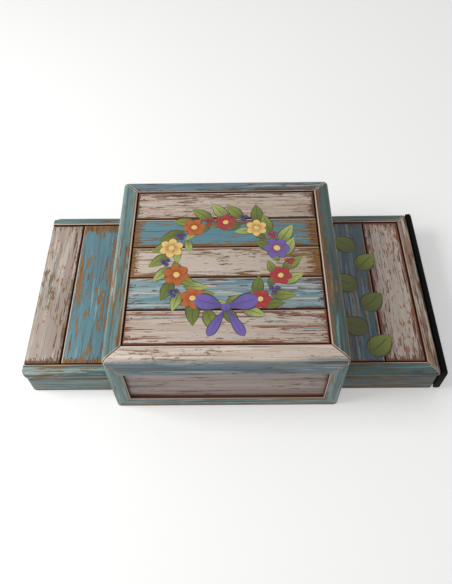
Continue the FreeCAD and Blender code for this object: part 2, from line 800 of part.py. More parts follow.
def build_spring():
    """The jack's conical spring as one unbroken round wire, straight at both ends."""
    stations = spring_stations()
    wire_radius = SIZES["spring_wire_radius"]
    straight = 2 * wire_radius
    first_point, first_heading = stations[0]
    last_point, last_heading = stations[-1]
    start = first_point - first_heading * straight
    edges = [Part.LineSegment(start, first_point).toShape()]
    for first, second in zip(stations, stations[1:]):
        edges.extend(biarc(first, second))
    edges.append(Part.LineSegment(last_point, last_point + last_heading * straight).toShape())
    spine = Part.Wire(edges)
    section = Part.Wire([Part.Circle(start, first_heading, wire_radius).toShape()])
    piece = add("Part::Feature", "jack_spring")
    piece.Shape = spine.makePipeShell([section], True, False)
    piece.Placement = FreeCAD.Placement()
    report_spring(spine, piece.Shape, wire_radius)
    keep(piece)


def report_spring(spine, shape, wire_radius):
    """Prints the wire's volume against its section times its length, and its least gap to itself."""
    points = spine.discretize(Distance=wire_radius)
    skipped = int(math.pi * SIZES["spring_top_radius"] / wire_radius)
    gap = min(points[i].distanceToPoint(points[j]) for i in range(len(points))
              for j in range(i + skipped, len(points))) - 2 * wire_radius
    share = shape.Volume / (math.pi * wire_radius ** 2 * spine.Length)
    print(f"jack_spring: volume over section times length {share:.4f}, least gap to itself {gap:.2f} mm")


def build_jack():
    """The jack on its spring, which stands on a plate on the tower's floor."""
    keep(cylinder("spring_plate", UP, mm.plate_radius, mm.plate_thickness, (ZERO, ZERO, mm.floor_thickness)))
    build_spring()
    build_figure()


def check_document():
    """Stops if any object failed or any sub-part has no sound shape."""
    document.recompute()
    for thing in document.Objects:
        if "Invalid" in thing.State or "Error" in thing.State:
            raise RuntimeError(f"{thing.Label} failed: {thing.State}")
    for piece in kept:
        if piece.Shape.isNull() or not piece.Shape.isValid() or not piece.Shape.Solids:
            raise RuntimeError(f"{piece.Label} has no sound shape")


def export_parts():
    """Writes each sub-part to a file under its own name."""
    os.makedirs("parts", exist_ok=True)
    for piece in kept:
        piece.Shape.exportStep(f"parts/{piece.Label}.step")
    print(f"{len(kept)} sub-parts written")


build_tower()
build_lid()
build_hinges()
build_strap()
keep(group("case_screws", case_screws))
keep(group("lid_screws", lid_screws + strap_screws))
build_left_wing()
build_right_wing()
build_release()
build_jack()
check_document()
export_parts()
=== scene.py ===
"""Looks of a painted plank toy box with a sprung jack inside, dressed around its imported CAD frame.

Lengths in fields and arguments are in millimetres and meshes are in metres, unless a note says otherwise.
"""
import logging
import math
from dataclasses import dataclass, replace
from enum import Enum
from typing import Any, Iterable, NamedTuple, Optional, Sequence, Union

import bmesh
import bpy
from mathutils import Matrix, Vector
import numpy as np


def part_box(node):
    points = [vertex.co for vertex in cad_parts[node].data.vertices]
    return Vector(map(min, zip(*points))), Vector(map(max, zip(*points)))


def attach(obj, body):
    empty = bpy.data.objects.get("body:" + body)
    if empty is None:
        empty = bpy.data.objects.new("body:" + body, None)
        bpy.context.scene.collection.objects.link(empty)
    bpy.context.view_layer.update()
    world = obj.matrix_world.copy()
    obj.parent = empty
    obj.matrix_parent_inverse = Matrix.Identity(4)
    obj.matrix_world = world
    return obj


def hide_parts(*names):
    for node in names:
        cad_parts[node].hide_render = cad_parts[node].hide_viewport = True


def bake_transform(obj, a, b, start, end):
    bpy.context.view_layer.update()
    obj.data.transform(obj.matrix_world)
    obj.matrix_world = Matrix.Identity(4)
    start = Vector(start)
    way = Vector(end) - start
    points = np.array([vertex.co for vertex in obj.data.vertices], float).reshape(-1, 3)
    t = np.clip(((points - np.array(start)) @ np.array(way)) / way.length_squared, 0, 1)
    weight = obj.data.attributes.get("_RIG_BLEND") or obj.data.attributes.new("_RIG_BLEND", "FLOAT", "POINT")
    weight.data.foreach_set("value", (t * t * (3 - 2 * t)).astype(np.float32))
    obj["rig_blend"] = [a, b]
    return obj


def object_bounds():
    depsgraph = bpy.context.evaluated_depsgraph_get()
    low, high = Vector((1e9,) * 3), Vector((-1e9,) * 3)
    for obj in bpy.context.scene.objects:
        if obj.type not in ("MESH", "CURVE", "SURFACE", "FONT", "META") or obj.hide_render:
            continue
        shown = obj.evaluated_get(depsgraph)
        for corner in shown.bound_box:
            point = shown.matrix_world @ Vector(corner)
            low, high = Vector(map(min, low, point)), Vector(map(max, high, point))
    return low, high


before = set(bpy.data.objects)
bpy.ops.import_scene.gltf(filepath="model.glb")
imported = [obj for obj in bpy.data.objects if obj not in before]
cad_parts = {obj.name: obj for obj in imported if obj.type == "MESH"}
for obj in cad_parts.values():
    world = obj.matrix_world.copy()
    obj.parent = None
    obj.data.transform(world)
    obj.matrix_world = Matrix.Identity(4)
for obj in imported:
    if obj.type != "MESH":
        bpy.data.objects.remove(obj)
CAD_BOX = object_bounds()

LOG = logging.getLogger("toy_box")

MM = 0.001
MM_PER_M = 1000.0
MERGE_DISTANCE = 1e-6
FLAT_ANGLE = math.radians(0.4)
SHARP_ANGLE = math.radians(32.0)
BLEND_ATTRIBUTE = "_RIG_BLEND"

Colour = tuple[float, float, float]
Point = tuple[float, float, float]
Feed = Union["Term", float]
Tone = Union["Term", "Shade"]
Socket = bpy.types.NodeSocket
Object = bpy.types.Object
Material = bpy.types.Material
Mesh = bpy.types.Mesh
Shape = bmesh.types.BMesh


def srgb(*levels: float) -> Colour:
    """Turns red, green and blue on a screen, from 0 to 255, into the linear values that a shader takes."""
    shares = [level / 255.0 for level in levels]
    return tuple(share / 12.92 if share <= 0.04045 else ((share + 0.055) / 1.055) ** 2.4 for share in shares)


class Shade(Enum):
    """The paints, woods, metals and cloths of the toy and the tones of its floor, as colours."""

    CREAM = srgb(188, 171, 157)
    CREAM_PALE = srgb(206, 193, 181)
    CREAM_WARM = srgb(196, 181, 164)
    CREAM_FRONT = srgb(200, 181, 163)
    # painted highlight: whitewash brightened where the lid's front edge catches the light
    CREAM_HIGHLIGHT = srgb(231, 216, 205)
    CREAM_PINK = srgb(168, 150, 140)
    CREAM_TAN = srgb(172, 150, 122)
    # painted shade: cream darkened for the right wing's end, which lies in shade
    CREAM_SHADED = srgb(132, 112, 97)
    MAUVE = srgb(164, 146, 139)
    MAUVE_PALE = srgb(186, 169, 161)
    MAUVE_DEEP = srgb(112, 97, 98)
    BLUE = srgb(92, 136, 147)
    BLUE_PALE = srgb(158, 174, 174)
    BLUE_DEEP = srgb(74, 106, 120)
    BLUE_GREY = srgb(128, 140, 144)
    # painted shade: blue darkened for the right wing's inner plank, in the tower's shadow
    BLUE_PAINTED_SHADE = srgb(50, 76, 88)
    BLUE_RAIL = srgb(93, 121, 132)
    BLUE_RAIL_DEEP = srgb(70, 93, 101)
    TEAL = srgb(100, 132, 131)
    TEAL_PALE = srgb(154, 168, 160)
    TEAL_DEEP = srgb(70, 102, 102)
    # painted shade: teal darkened for the right wing, which lies in the tower's shadow
    TEAL_PAINTED_SHADE = srgb(76, 100, 97)
    # painted shade: teal darkened for the lid's right rail, on its shaded side
    TEAL_RAIL_PAINTED_SHADE = srgb(56, 86, 84)
    # painted shade: the darkest teal, used only in the paints with painted shade
    TEAL_SHADE = srgb(42, 56, 52)
    OLIVE = srgb(110, 82, 46)
    OCHRE = srgb(138, 98, 46)
    RUST = srgb(142, 80, 56)
    UMBER = srgb(86, 56, 36)
    GAP_BROWN = srgb(86, 40, 20)
    STAIN = srgb(112, 70, 54)
    # painted highlight over worn paint: the pale line beside the edges and mitres
    EDGE_HIGHLIGHT_AND_WEAR = srgb(216, 203, 188)
    PINE = srgb(206, 170, 122)
    PINE_DARK = srgb(168, 124, 78)
    BLACK = srgb(4, 4, 5)
    BLACK_WORN = srgb(12, 12, 13)
    IRON = srgb(70, 60, 54)
    STEEL = srgb(176, 178, 182)
    BRASS = srgb(206, 168, 92)
    BRASS_DARK = srgb(130, 94, 44)
    PURPLE = srgb(112, 94, 168)
    PURPLE_DARK = srgb(78, 64, 128)
    BUTTER = srgb(240, 202, 122)
    RED = srgb(172, 48, 56)
    ORANGE = srgb(188, 98, 36)
    ORANGE_DARK = srgb(120, 52, 30)
    LEAF = srgb(132, 142, 62)
    LEAF_PALE = srgb(166, 176, 100)
    LEAF_DARK = srgb(70, 74, 26)
    LEAF_DEEP = srgb(104, 116, 44)
    LEAF_OLIVE = srgb(90, 94, 40)
    INK = srgb(44, 34, 24)
    SKIN = srgb(232, 196, 164)
    BLUSH = srgb(214, 116, 100)
    LINEN = srgb(238, 228, 208)
    FLOOR = (0.80, 0.80, 0.79)
    FLOOR_PALE = (0.83, 0.83, 0.82)
    WHITE = (1.0, 1.0, 1.0)


class Axis(Enum):
    """One of the three directions of the shared frame."""

    X = 0
    Y = 1
    Z = 2


class Plane(Enum):
    """The face of a board that shows, as its two axes."""

    TOP = (Axis.X, Axis.Y)
    FRONT = (Axis.X, Axis.Z)
    SIDE = (Axis.Y, Axis.Z)


class Term:
    """A value inside a node tree, on which plain arithmetic adds Math nodes."""

    def __init__(self, graph: "Graph", socket: Socket) -> None:
        """Keeps an output socket and the graph that it is in."""
        self.graph, self.socket = graph, socket

    def __add__(self, other: Feed) -> "Term":
        """The sum."""
        return self.graph.maths("ADD", self, other)

    def __sub__(self, other: Feed) -> "Term":
        """The difference."""
        return self.graph.maths("SUBTRACT", self, other)

    def __rsub__(self, other: float) -> "Term":
        """A plain number less this one."""
        return self.graph.maths("SUBTRACT", other, self)

    def __mul__(self, other: Feed) -> "Term":
        """The product."""
        return self.graph.maths("MULTIPLY", self, other)

    def __truediv__(self, other: Feed) -> "Term":
        """The quotient."""
        return self.graph.maths("DIVIDE", self, other)

    def __abs__(self) -> "Term":
        """The size without its sign."""
        return self.graph.maths("ABSOLUTE", self)


class Graph:
    """Writes the nodes of one tree."""

    def __init__(self, tree: bpy.types.NodeTree) -> None:
        """Keeps the tree that is written."""
        self.tree = tree

    def feed(self, socket: Socket, value: Any) -> None:
        """Links a term to a socket, or sets the socket's own value.

        Args:
            socket: The input to feed.
            value: A term, a shade or a plain value.
        """
        if isinstance(value, Term):
            self.tree.links.new(value.socket, socket)
        else:
            socket.default_value = (*value.value, 1.0) if isinstance(value, Shade) else value

    def add(self, kind: str, inputs: Optional[dict[Any, Any]] = None, out: Union[int, str] = 0,
            **settings: Any) -> Term:
        """Adds a node, its settings and its inputs.

        Args:
            kind: The node's type.
            inputs: What feeds its inputs, by their name or number.
            out: The output that is wanted.
            settings: The node's own settings.

        Returns:
            That output.
        """
        node = self.tree.nodes.new(kind)
        for name, value in settings.items():
            setattr(node, name, value)
        for key, value in (inputs or {}).items():
            self.feed(node.inputs[key], value)
        return Term(self, node.outputs[out])

    def maths(self, operation: str, first: Feed, second: Feed = 0.0) -> Term:
        """Joins two numbers with a Math node."""
        return self.add("ShaderNodeMath", {0: first, 1: second}, operation=operation)


@dataclass(frozen=True)
class Pattern:
    """A noise, which can be drawn out along a grain.

    Attributes:
        along, across: Features per metre along and across the grain.
        shift: How far the noise is moved, so that no two match.
        detail, rough: Octaves of finer noise, and their share.
    """

    along: float
    across: float
    shift: float = 0.0
    detail: float = 4.0
    rough: float = 0.6


SHIFT_WAYS = (1.0, 1.7, 0.6)


class ShaderSheet(Graph):
    """Writes the nodes of one material, with a Principled shader at its end."""

    def __init__(self, name: str) -> None:
        """Starts a material that reads Object coordinates.

        Args:
            name: The material's name.
        """
        self.material = bpy.data.materials.new(name)
        self.material.use_nodes = True
        super().__init__(self.material.node_tree)
        self.tree.nodes.clear()
        self.shader = self.tree.nodes.new("ShaderNodeBsdfPrincipled")
        output = self.tree.nodes.new("ShaderNodeOutputMaterial")
        self.tree.links.new(self.shader.outputs["BSDF"], output.inputs["Surface"])
        self.place = self.add("ShaderNodeTexCoord", out="Object")
        self.mm = {axis: self.add("ShaderNodeSeparateXYZ", {"Vector": self.place}, axis.value) * MM_PER_M
                   for axis in Axis}

    def fade(self, value: Feed, start: float, end: float, low: float = 0.0, high: float = 1.0) -> Term:
        """Eases from a low to a high level as a value goes from start to end."""
        return self.add("ShaderNodeMapRange", dict(enumerate((value, start, end, low, high))),
                        interpolation_type="SMOOTHSTEP")

    def noise(self, pattern: Pattern, grain: Axis = Axis.X, shift: float = 0.0) -> Term:
        """Adds a noise.

        Args:
            pattern: Its features.
            grain: The direction that it is drawn out in.
            shift: How far it is moved on top of its own shift.

        Returns:
            The noise from 0 to 1, mostly near 0.5.
        """
        counts = tuple(pattern.along if axis is grain else pattern.across for axis in Axis)
        moved = tuple((shift + pattern.shift) * way for way in SHIFT_WAYS)
        place = self.add("ShaderNodeMapping", {"Vector": self.place, "Scale": counts, "Location": moved})
        return self.add("ShaderNodeTexNoise", {"Vector": place, "Scale": 1.0, "Detail": pattern.detail,
                                               "Roughness": pattern.rough}, "Fac")

    def mix(self, share: Feed, first: Tone, second: Tone) -> Term:
        """Mixes two colours, by the share of the second one."""
        return self.add("ShaderNodeMix", {0: share, 6: first, 7: second}, 2, data_type="RGBA")

    def attribute(self, name: str) -> Term:
        """A number that the mesh carries at its points."""
        return self.add("ShaderNodeAttribute", out="Fac", attribute_name=name)

    def set(self, values: dict[str, Any]) -> None:
        """Feeds the shader's own sockets by their names."""
        for name, value in values.items():
            self.feed(self.shader.inputs[name], value)

    def bump(self, height: Term, strength: float, depth: float) -> None:
        """Raises the surface by a height, whose full size is a depth in metres."""
        values = {"Strength": strength, "Distance": depth, "Height": height}
        self.set({"Normal": self.add("ShaderNodeBump", values)})


class Finish:
    """A surface that can be put on any piece."""

    def dress(self, name: str) -> Material:
        """Makes the finish's material.

        Args:
            name: The material's name.

        Returns:
            The material.
        """
        sheet = ShaderSheet(name)
        self.write(sheet)
        return sheet.material

    def write(self, sheet: ShaderSheet) -> None:
        """Writes the finish's nodes on a material."""
        raise NotImplementedError


@dataclass(frozen=True)
class Box:
    """A piece's lowest and highest corners."""

    low: Point
    high: Point

    @classmethod
    def of(cls, node: str) -> "Box":
        """The box of a CAD node at rest."""
        low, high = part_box(node)
        return cls(tuple(low * MM_PER_M), tuple(high * MM_PER_M))

    def nail_spots(self, side_gap: float, end_gap: float) -> list[Point]:
        """Four places on the top, at a gap from the sides in x and from the ends in y."""
        return [(x, y, self.high[2]) for x in (self.low[0] + side_gap, self.high[0] - side_gap)
                for y in (self.low[1] + end_gap, self.high[1] - end_gap)]


@dataclass(frozen=True)
class Limit:
    """The side of a plane that is painted: the rest of the piece is bare wood.

    Attributes:
        axis, place: The axis that the plane is square to, and its place.
        above: True where the paint is above the plane.
    """

    axis: Axis
    place: float
    above: bool


@dataclass(frozen=True)
class SecondCoat:
    """A second colour that takes over along an axis.

    Attributes:
        axis: The axis that the colour changes along.
        start, end: Where it starts and where it has taken over.
        colour: The second colour.
        both: True where it does so on both sides of the middle.
    """

    axis: Axis
    start: float
    end: float
    colour: Shade
    both: bool = False


class Mitre(NamedTuple):
    """A mitre line on the face that shows: a point on it and a direction square to it."""

    point: tuple[float, float]
    normal: tuple[float, float]


@dataclass(frozen=True)
class Streaks:
    """Flecks of one colour that run with the grain.

    Attributes:
        colour, strength: Their colour, and how strongly it covers.
        along, across: Flecks per metre along and across the grain.
        level, soft: The noise level above which they show, and how far their edges fade.
        patchy, edgy: How far they gather in patches, and near worn edges.
        rim: How strongly a dark rim, painted shade at the fleck's edge, shows round each of them.
    """

    colour: Shade
    along: float
    across: float
    level: float
    soft: float = 0.04
    strength: float = 0.9
    patchy: float = 0.3
    edgy: float = 0.05
    rim: float = 0.0


class Sides(NamedTuple):
    """A value for each edge of the face that shows, whose axes are u and v."""

    low_u: float = 0.0
    high_u: float = 0.0
    low_v: float = 0.0
    high_v: float = 0.0


@dataclass(frozen=True)
class Wear:
    """How one painted board has aged.

    Attributes:
        plane, grain: The face that shows, whose axes are u and v, and the direction of the grain.
        shift: Moves the pattern, so that no two boards match.
        reach: How far bare wood comes in from each edge.
        dark, pale: The widths of the dark line at each edge and of the pale line inside it, a painted
            highlight over worn paint.
        mitres: The mitre lines that are drawn on the face.
        limit: Where the paint ends, if it does.
        second: A second colour, if the board has one.
        scatter: How far chips are scattered in from a worn edge.
    """

    plane: Plane
    grain: Axis
    shift: float
    reach: Sides = Sides()
    dark: Sides = Sides()
    pale: Sides = Sides()
    mitres: tuple[Mitre, ...] = ()
    limit: Optional[Limit] = None
    second: Optional[SecondCoat] = None
    scatter: float = 7.0


PATCHES = Pattern(10.0, 34.0, 11.0, 2.0, 0.55)
GRAIN = Pattern(16.0, 1000.0, 23.0, 3.0)
BRUSH = Pattern(9.0, 260.0, 37.0)
FINGERS = Pattern(26.0, 480.0, 53.0)
RAGGED = 6.5
MITRE_DARK = 0.7
# painted highlight over worn paint: the width of the pale line beside each mitre
MITRE_HIGHLIGHT_AND_WEAR = 1.25


class BoardSheet(ShaderSheet):
    """The sheet of one painted board, with the noises and distances that its paint reads.

    Attributes:
        wear: How the board has aged.
        patches: A slow noise about 0, which gathers flecks in patches.
        lines, brush: The wood's grain, and the marks of the brush.
        fingers: A noise that makes the worn borders ragged.
        gaps, mitre_gaps: The distances from the four edges and from the mitres.
        near: How near a worn edge is, from 0 to 1.
    """

    def __init__(self, name: str, box: Box, wear: Wear) -> None:
        """Starts the board's material.

        Args:
            name: The material's name.
            box: The board's box.
            wear: How the board has aged.
        """
        super().__init__(name)
        self.wear = wear
        patches, self.lines, self.brush, self.fingers = (
            self.noise(pattern, wear.grain, wear.shift) for pattern in (PATCHES, GRAIN, BRUSH, FINGERS))
        self.patches = patches - 0.5
        self.gaps = []
        for axis in wear.plane.value:
            self.gaps += [self.mm[axis] - box.low[axis.value], box.high[axis.value] - self.mm[axis]]
        u, v = (self.mm[axis] for axis in wear.plane.value)
        self.mitre_gaps = [abs((u - point[0]) * normal[0] + (v - point[1]) * normal[1])
                           for point, normal in wear.mitres]
        self.near = self.highest(self.fade(gap, 0.0, reach + wear.scatter, 1.0, 0.0)
                                 for gap, reach in zip(self.gaps, wear.reach) if reach > 0.0)

    def highest(self, masks: Iterable[Term]) -> Feed:
        """Joins masks.

        Args:
            masks: The masks.

        Returns:
            The highest of them, or 0 where there are none.
        """
        top: Feed = 0.0
        for mask in masks:
            top = self.maths("MAXIMUM", mask, top)
        return top

    def worn(self) -> Feed:
        """Finds the bare wood that comes in from the edges.

        Returns:
            Its mask.
        """
        masks = []
        for gap, reach in zip(self.gaps, self.wear.reach):
            if reach > 0.0:
                ragged = gap + (self.fingers - 0.5) * (reach * RAGGED)
                masks.append(self.fade(ragged, reach * 0.55, reach * 0.9, 1.0, 0.0))
        return self.highest(masks)

    def lined(self, colour: Term) -> Term:
        """Draws the pale and dark lines along the edges and mitres, the pale ones a painted highlight over
        worn paint.

        Args:
            colour: The paint so far.

        Returns:
            The colour with its lines.
        """
        pale = [self.fade(gap, dark + width * 0.7, dark + width, 1.0, 0.0)
                for gap, dark, width in zip(self.gaps, self.wear.dark, self.wear.pale) if width > 0.0]
        pale += [self.fade(gap, MITRE_HIGHLIGHT_AND_WEAR * 0.7, MITRE_HIGHLIGHT_AND_WEAR, 1.0, 0.0) for gap in self.mitre_gaps]
        dark = [self.fade(gap, width * 0.6, width, 1.0, 0.0)
                for gap, width in zip(self.gaps, self.wear.dark) if width > 0.0]
        dark += [self.fade(gap, MITRE_DARK * 0.5, MITRE_DARK, 1.0, 0.0) for gap in self.mitre_gaps]
        # painted highlight over worn paint: the pale lines, broken by the brush marks
        broken = self.fade(self.brush, 0.36, 0.5, 0.35, 0.9) * self.highest(pale)
        return self.mix(self.highest(dark), self.mix(broken, colour, Shade.EDGE_HIGHLIGHT_AND_WEAR), Shade.GAP_BROWN)


LAYER_SHIFT = 17.3
FLECK_SHADE_RIM = 0.02
CHIP_SHADE_RIM = 0.025
CHIP_SOFT = 0.015
EDGE_CHIPS = 0.11
LIMIT_SOFT = 0.15


@dataclass(frozen=True)
class OldPaint:
    """Brushed paint that has streaked, and worn back to the wood at its edges.

    Attributes:
        coat, brushed: The paint, and its other tone in long brush streaks.
        layers: The flecks over it, from the lowest up.
        bare: The wood where the paint is gone.
        brush_share: How much of the other tone shows.
        chip_level: The noise level above which chips show near a worn edge.
    """

    coat: Shade
    brushed: Shade
    layers: tuple[Streaks, ...]
    bare: Shade = Shade.OCHRE
    brush_share: float = 0.7
    chip_level: float = 0.66

    def covered(self, board: BoardSheet) -> Term:
        """The unworn coat with its brush streaks and flecks.

        Args:
            board: The board's sheet.

        Returns:
            The colour.
        """
        colour: Tone = self.coat
        second = board.wear.second
        if second is not None:
            place = abs(board.mm[second.axis]) if second.both else board.mm[second.axis]
            colour = board.mix(board.fade(place, second.start, second.end), colour, second.colour)
        colour = board.mix(board.fade(board.brush, 0.40, 0.64, 0.0, self.brush_share), colour, self.brushed)
        near = board.near * board.near
        for number, layer in enumerate(self.layers):
            flecks = Pattern(layer.along, layer.across, LAYER_SHIFT * number)
            level = board.noise(flecks, board.wear.grain, board.wear.shift) + board.patches * layer.patchy
            level = level + near * layer.edgy
            if layer.rim > 0.0:
                # painted shade: a dark umber rim round each fleck
                rim = board.fade(level, layer.level - FLECK_SHADE_RIM, layer.level, 0.0, layer.rim)
                colour = board.mix(rim, colour, Shade.UMBER)
            share = board.fade(level, layer.level, layer.level + layer.soft, 0.0, layer.strength)
            colour = board.mix(share, colour, layer.colour)
        return colour

    def dress(self, name: str, box: Box, wear: Wear) -> Material:
        """Makes the material of one board.

        Args:
            name: The material's name.
            box: The board's box.
            wear: How the board has aged.

        Returns:
            The material.
        """
        board = BoardSheet(name, box, wear)
        chips = board.fingers + board.near * EDGE_CHIPS
        # painted shade: a dark umber rim round each chip
        rim = board.fade(chips, self.chip_level - CHIP_SHADE_RIM, self.chip_level, 0.0, 0.75)
        colour = board.mix(rim, self.covered(board), Shade.UMBER)
        chipped = board.fade(chips, self.chip_level, self.chip_level + CHIP_SOFT)
        chipped = board.maths("MAXIMUM", chipped, board.worn())
        wood = board.mix(board.fade(board.lines, 0.44, 0.60), self.bare, Shade.UMBER)
        colour = board.lined(board.mix(chipped, colour, wood))
        limit = wear.limit
        if limit is not None:
            inner = board.mix(board.fade(board.lines, 0.35, 0.7), Shade.PINE, Shade.PINE_DARK)
            soft = LIMIT_SOFT if limit.above else -LIMIT_SOFT
            painted = board.fade(board.mm[limit.axis], limit.place - soft, limit.place + soft)
            colour = board.mix(painted, inner, colour)
        board.set({"Base Color": colour, "Roughness": board.fade(chipped, 0.0, 1.0, 0.46, 0.72)})
        board.bump(board.brush * 0.5 - chipped * 0.6, 0.35, 0.0003)
        return board.material


@dataclass(frozen=True)
class RoundedFrontPaint(OldPaint):
    """The lid's front rail: cream on top, turning blue round its edge, with teal corners.

    Attributes:
        edge, corner: The paints of the edge and of the corners.
        turn_start, turn_end: The heights at which the cream starts to turn and is blue.
        ragged: How far the brush marks move those heights.
        turn_front, turn_back: How far forward the turn is whole, and where it has faded out.
        half_width, top: Half the lid's width, and the height of its top.
        lean: How far the corner's line leans in for each millimetre down.
    """

    edge: Optional[OldPaint] = None
    corner: Optional[OldPaint] = None
    turn_start: float = 80.2
    turn_end: float = 77.4
    ragged: float = 7.0
    turn_front: float = -93.5
    turn_back: float = -92.0
    half_width: float = 97.0
    lean: float = 0.62
    top: float = 80.5

    def covered(self, board: BoardSheet) -> Term:
        """The cream coat, and the blue and teal round the edge.

        Args:
            board: The board's sheet.

        Returns:
            The colour.
        """
        cream = super().covered(board)
        edge, corner = self.edge.covered(board), self.corner.covered(board)
        outside = abs(board.mm[Axis.X]) - (self.half_width - (self.top - board.mm[Axis.Z]) * self.lean)
        line = board.fade(abs(outside), 0.3, 0.6, 1.0, 0.0)
        sides = board.mix(board.fade(outside, -0.1, 0.1), edge, corner)
        sides = board.mix(line, sides, Shade.GAP_BROWN)
        height = board.mm[Axis.Z] + (board.brush - 0.5) * self.ragged
        front = board.fade(board.mm[Axis.Y], self.turn_front, self.turn_back, 1.0, 0.0)
        return board.mix(board.fade(height, self.turn_start, self.turn_end) * front, cream, sides)


WOOD_LINES = Pattern(6.0, 420.0)
WOOD_BANDS = Pattern(3.0, 60.0, 4.0, 2.0, 0.5)


@dataclass(frozen=True)
class BareWood(Finish):
    """Unpainted wood with a fine grain, light between its dark lines."""

    grain: Axis
    shift: float
    light: Shade = Shade.PINE
    dark: Shade = Shade.PINE_DARK

    def write(self, sheet: ShaderSheet) -> None:
        """Writes the grain.

        Args:
            sheet: The material that is written.
        """
        lines = sheet.noise(WOOD_LINES, self.grain, self.shift)
        bands = sheet.noise(WOOD_BANDS, self.grain, self.shift)
        share = sheet.fade(lines + bands * 0.5, 0.55, 1.0)
        sheet.set({"Base Color": sheet.mix(share, self.light, self.dark), "Roughness": 0.62})
        sheet.bump(lines, 0.2, 0.0003)


@dataclass(frozen=True)
class BackingWood(Finish):
    """A backing board: stained dark on its face, where the gaps show it, and bare at its underside."""

    underside: float
    shift: float = 6.0

    def write(self, sheet: ShaderSheet) -> None:
        """Writes the bare and the stained grain.

        Args:
            sheet: The material that is written.
        """
        lines = sheet.noise(WOOD_LINES, Axis.X, self.shift)
        grain = sheet.fade(lines, 0.4, 0.7)
        wood = sheet.mix(grain, Shade.PINE, Shade.PINE_DARK)
        stain = sheet.mix(grain, Shade.STAIN, Shade.GAP_BROWN)
        share = sheet.fade(sheet.mm[Axis.Z], self.underside + 0.3, self.underside + 0.6)
        sheet.set({"Base Color": sheet.mix(share, wood, stain), "Roughness": 0.7})
        sheet.bump(lines, 0.2, 0.0003)


@dataclass(frozen=True)
class SatinBlack(Finish):
    """Near-black satin colour on a wooden bar, with marks of the brush and a few specks of wood."""

    roughness: float = 0.38

    def write(self, sheet: ShaderSheet) -> None:
        """Writes the brush marks and specks.

        Args:
            sheet: The material that is written.
        """
        brush = sheet.noise(Pattern(10.0, 300.0, 3.0), Axis.Y)
        specks = sheet.noise(Pattern(90.0, 260.0, 8.0, 2.0, 0.55), Axis.Y)
        colour = sheet.mix(sheet.fade(brush, 0.45, 0.75, 0.0, 0.5), Shade.BLACK, Shade.BLACK_WORN)
        sheet.set({"Base Color": sheet.mix(sheet.fade(specks, 0.74, 0.78, 0.0, 0.7), colour, Shade.UMBER),
                   "Roughness": sheet.fade(brush, 0.3, 0.7, self.roughness, self.roughness + 0.16),
                   "Specular IOR Level": 0.05})
        sheet.bump(brush, 0.2, 0.0002)


@dataclass(frozen=True)
class Metal(Finish):
    """A metal with brush marks and a little tarnish."""

    bright: Shade
    dull: Shade
    roughness: float = 0.28

    def write(self, sheet: ShaderSheet) -> None:
        """Writes the tarnish and the brush marks.

        Args:
            sheet: The material that is written.
        """
        marks = sheet.noise(Pattern(60.0, 1400.0, 2.0, 3.0, 0.55))
        tarnish = sheet.noise(Pattern(110.0, 110.0, 9.0))
        sheet.set({"Base Color": sheet.mix(sheet.fade(tarnish, 0.5, 0.72, 0.0, 0.7), self.bright, self.dull),
                   "Metallic": 1.0,
                   "Roughness": sheet.fade(tarnish, 0.35, 0.7, self.roughness, self.roughness + 0.22)})
        sheet.bump(marks, 0.12, 0.0001)


@dataclass(frozen=True)
class BellBrass(Finish):
    """Bright brass with a slit across the bell's lower half, painted black as the shade inside it."""

    middle: float

    def write(self, sheet: ShaderSheet) -> None:
        """Writes the tarnish and the slit.

        Args:
            sheet: The material that is written.
        """
        tarnish = sheet.noise(Pattern(300.0, 300.0, 4.0))
        colour = sheet.mix(sheet.fade(tarnish, 0.5, 0.72, 0.0, 0.6), Shade.BRASS, Shade.BRASS_DARK)
        # painted shade: the slit is black, non-metal paint on the closed ball, standing in for its dark
        # inside
        thin = sheet.fade(abs(sheet.mm[Axis.Y]), 0.35, 0.45, 1.0, 0.0)
        slit = thin * sheet.fade(sheet.mm[Axis.Z], self.middle - 0.7, self.middle - 0.6, 1.0, 0.0)
        sheet.set({"Base Color": sheet.mix(slit, colour, Shade.BLACK), "Metallic": 1.0 - slit,
                   "Roughness": sheet.fade(tarnish, 0.35, 0.7, 0.22, 0.42)})


@dataclass(frozen=True)
class MotifPaint(Finish):
    """Hand-painted motif colours with a dark outline.

    Attributes:
        tones: The body colours, of which each copy takes one by its tint.
        shade: The darker colour towards the foot.
        heart: The colour of the middle.
        rib: True where a dark rib runs along the middle.
        outline: Where the outline starts, as a share of the way from the middle to the rim.
    """

    tones: tuple[Shade, ...]
    shade: Shade
    heart: Shade = Shade.BUTTER
    rib: bool = False
    outline: float = 0.82

    def write(self, sheet: ShaderSheet) -> None:
        """Writes the tones, the rib, the outline and the scuffs.

        Args:
            sheet: The material that is written.
        """
        tint, across, along, heart = (sheet.attribute(name) for name in ("tint", "across", "along", "heart"))
        colour: Tone = self.tones[0]
        for number, tone in enumerate(self.tones[1:], 1):
            step = number / len(self.tones)
            colour = sheet.mix(sheet.fade(tint, step - 0.001, step + 0.001), colour, tone)
        dabs = sheet.noise(Pattern(420.0, 420.0, 5.0))
        foot = along + (dabs - 0.5) * 0.7
        colour = sheet.mix(sheet.fade(foot, 0.0, 0.75, 0.75, 0.0), colour, self.shade)
        colour = sheet.mix(heart, colour, self.heart)
        if self.rib:
            rib = sheet.fade(across, 0.03, 0.10, 1.0, 0.0) * sheet.fade(along, 0.75, 0.9, 0.8, 0.0)
            colour = sheet.mix(rib, colour, self.shade)
        rim = sheet.fade(across, self.outline, self.outline + 0.06, 0.0, 0.9)
        scuffs = sheet.fade(sheet.noise(Pattern(60.0, 500.0, 15.0)), 0.66, 0.70, 0.0, 0.6)
        colour = sheet.mix(scuffs, sheet.mix(rim, colour, Shade.INK), Shade.CREAM_TAN)
        sheet.set({"Base Color": colour, "Roughness": sheet.fade(dabs, 0.3, 0.7, 0.42, 0.6)})
        sheet.bump(dabs, 0.2, 0.0002)


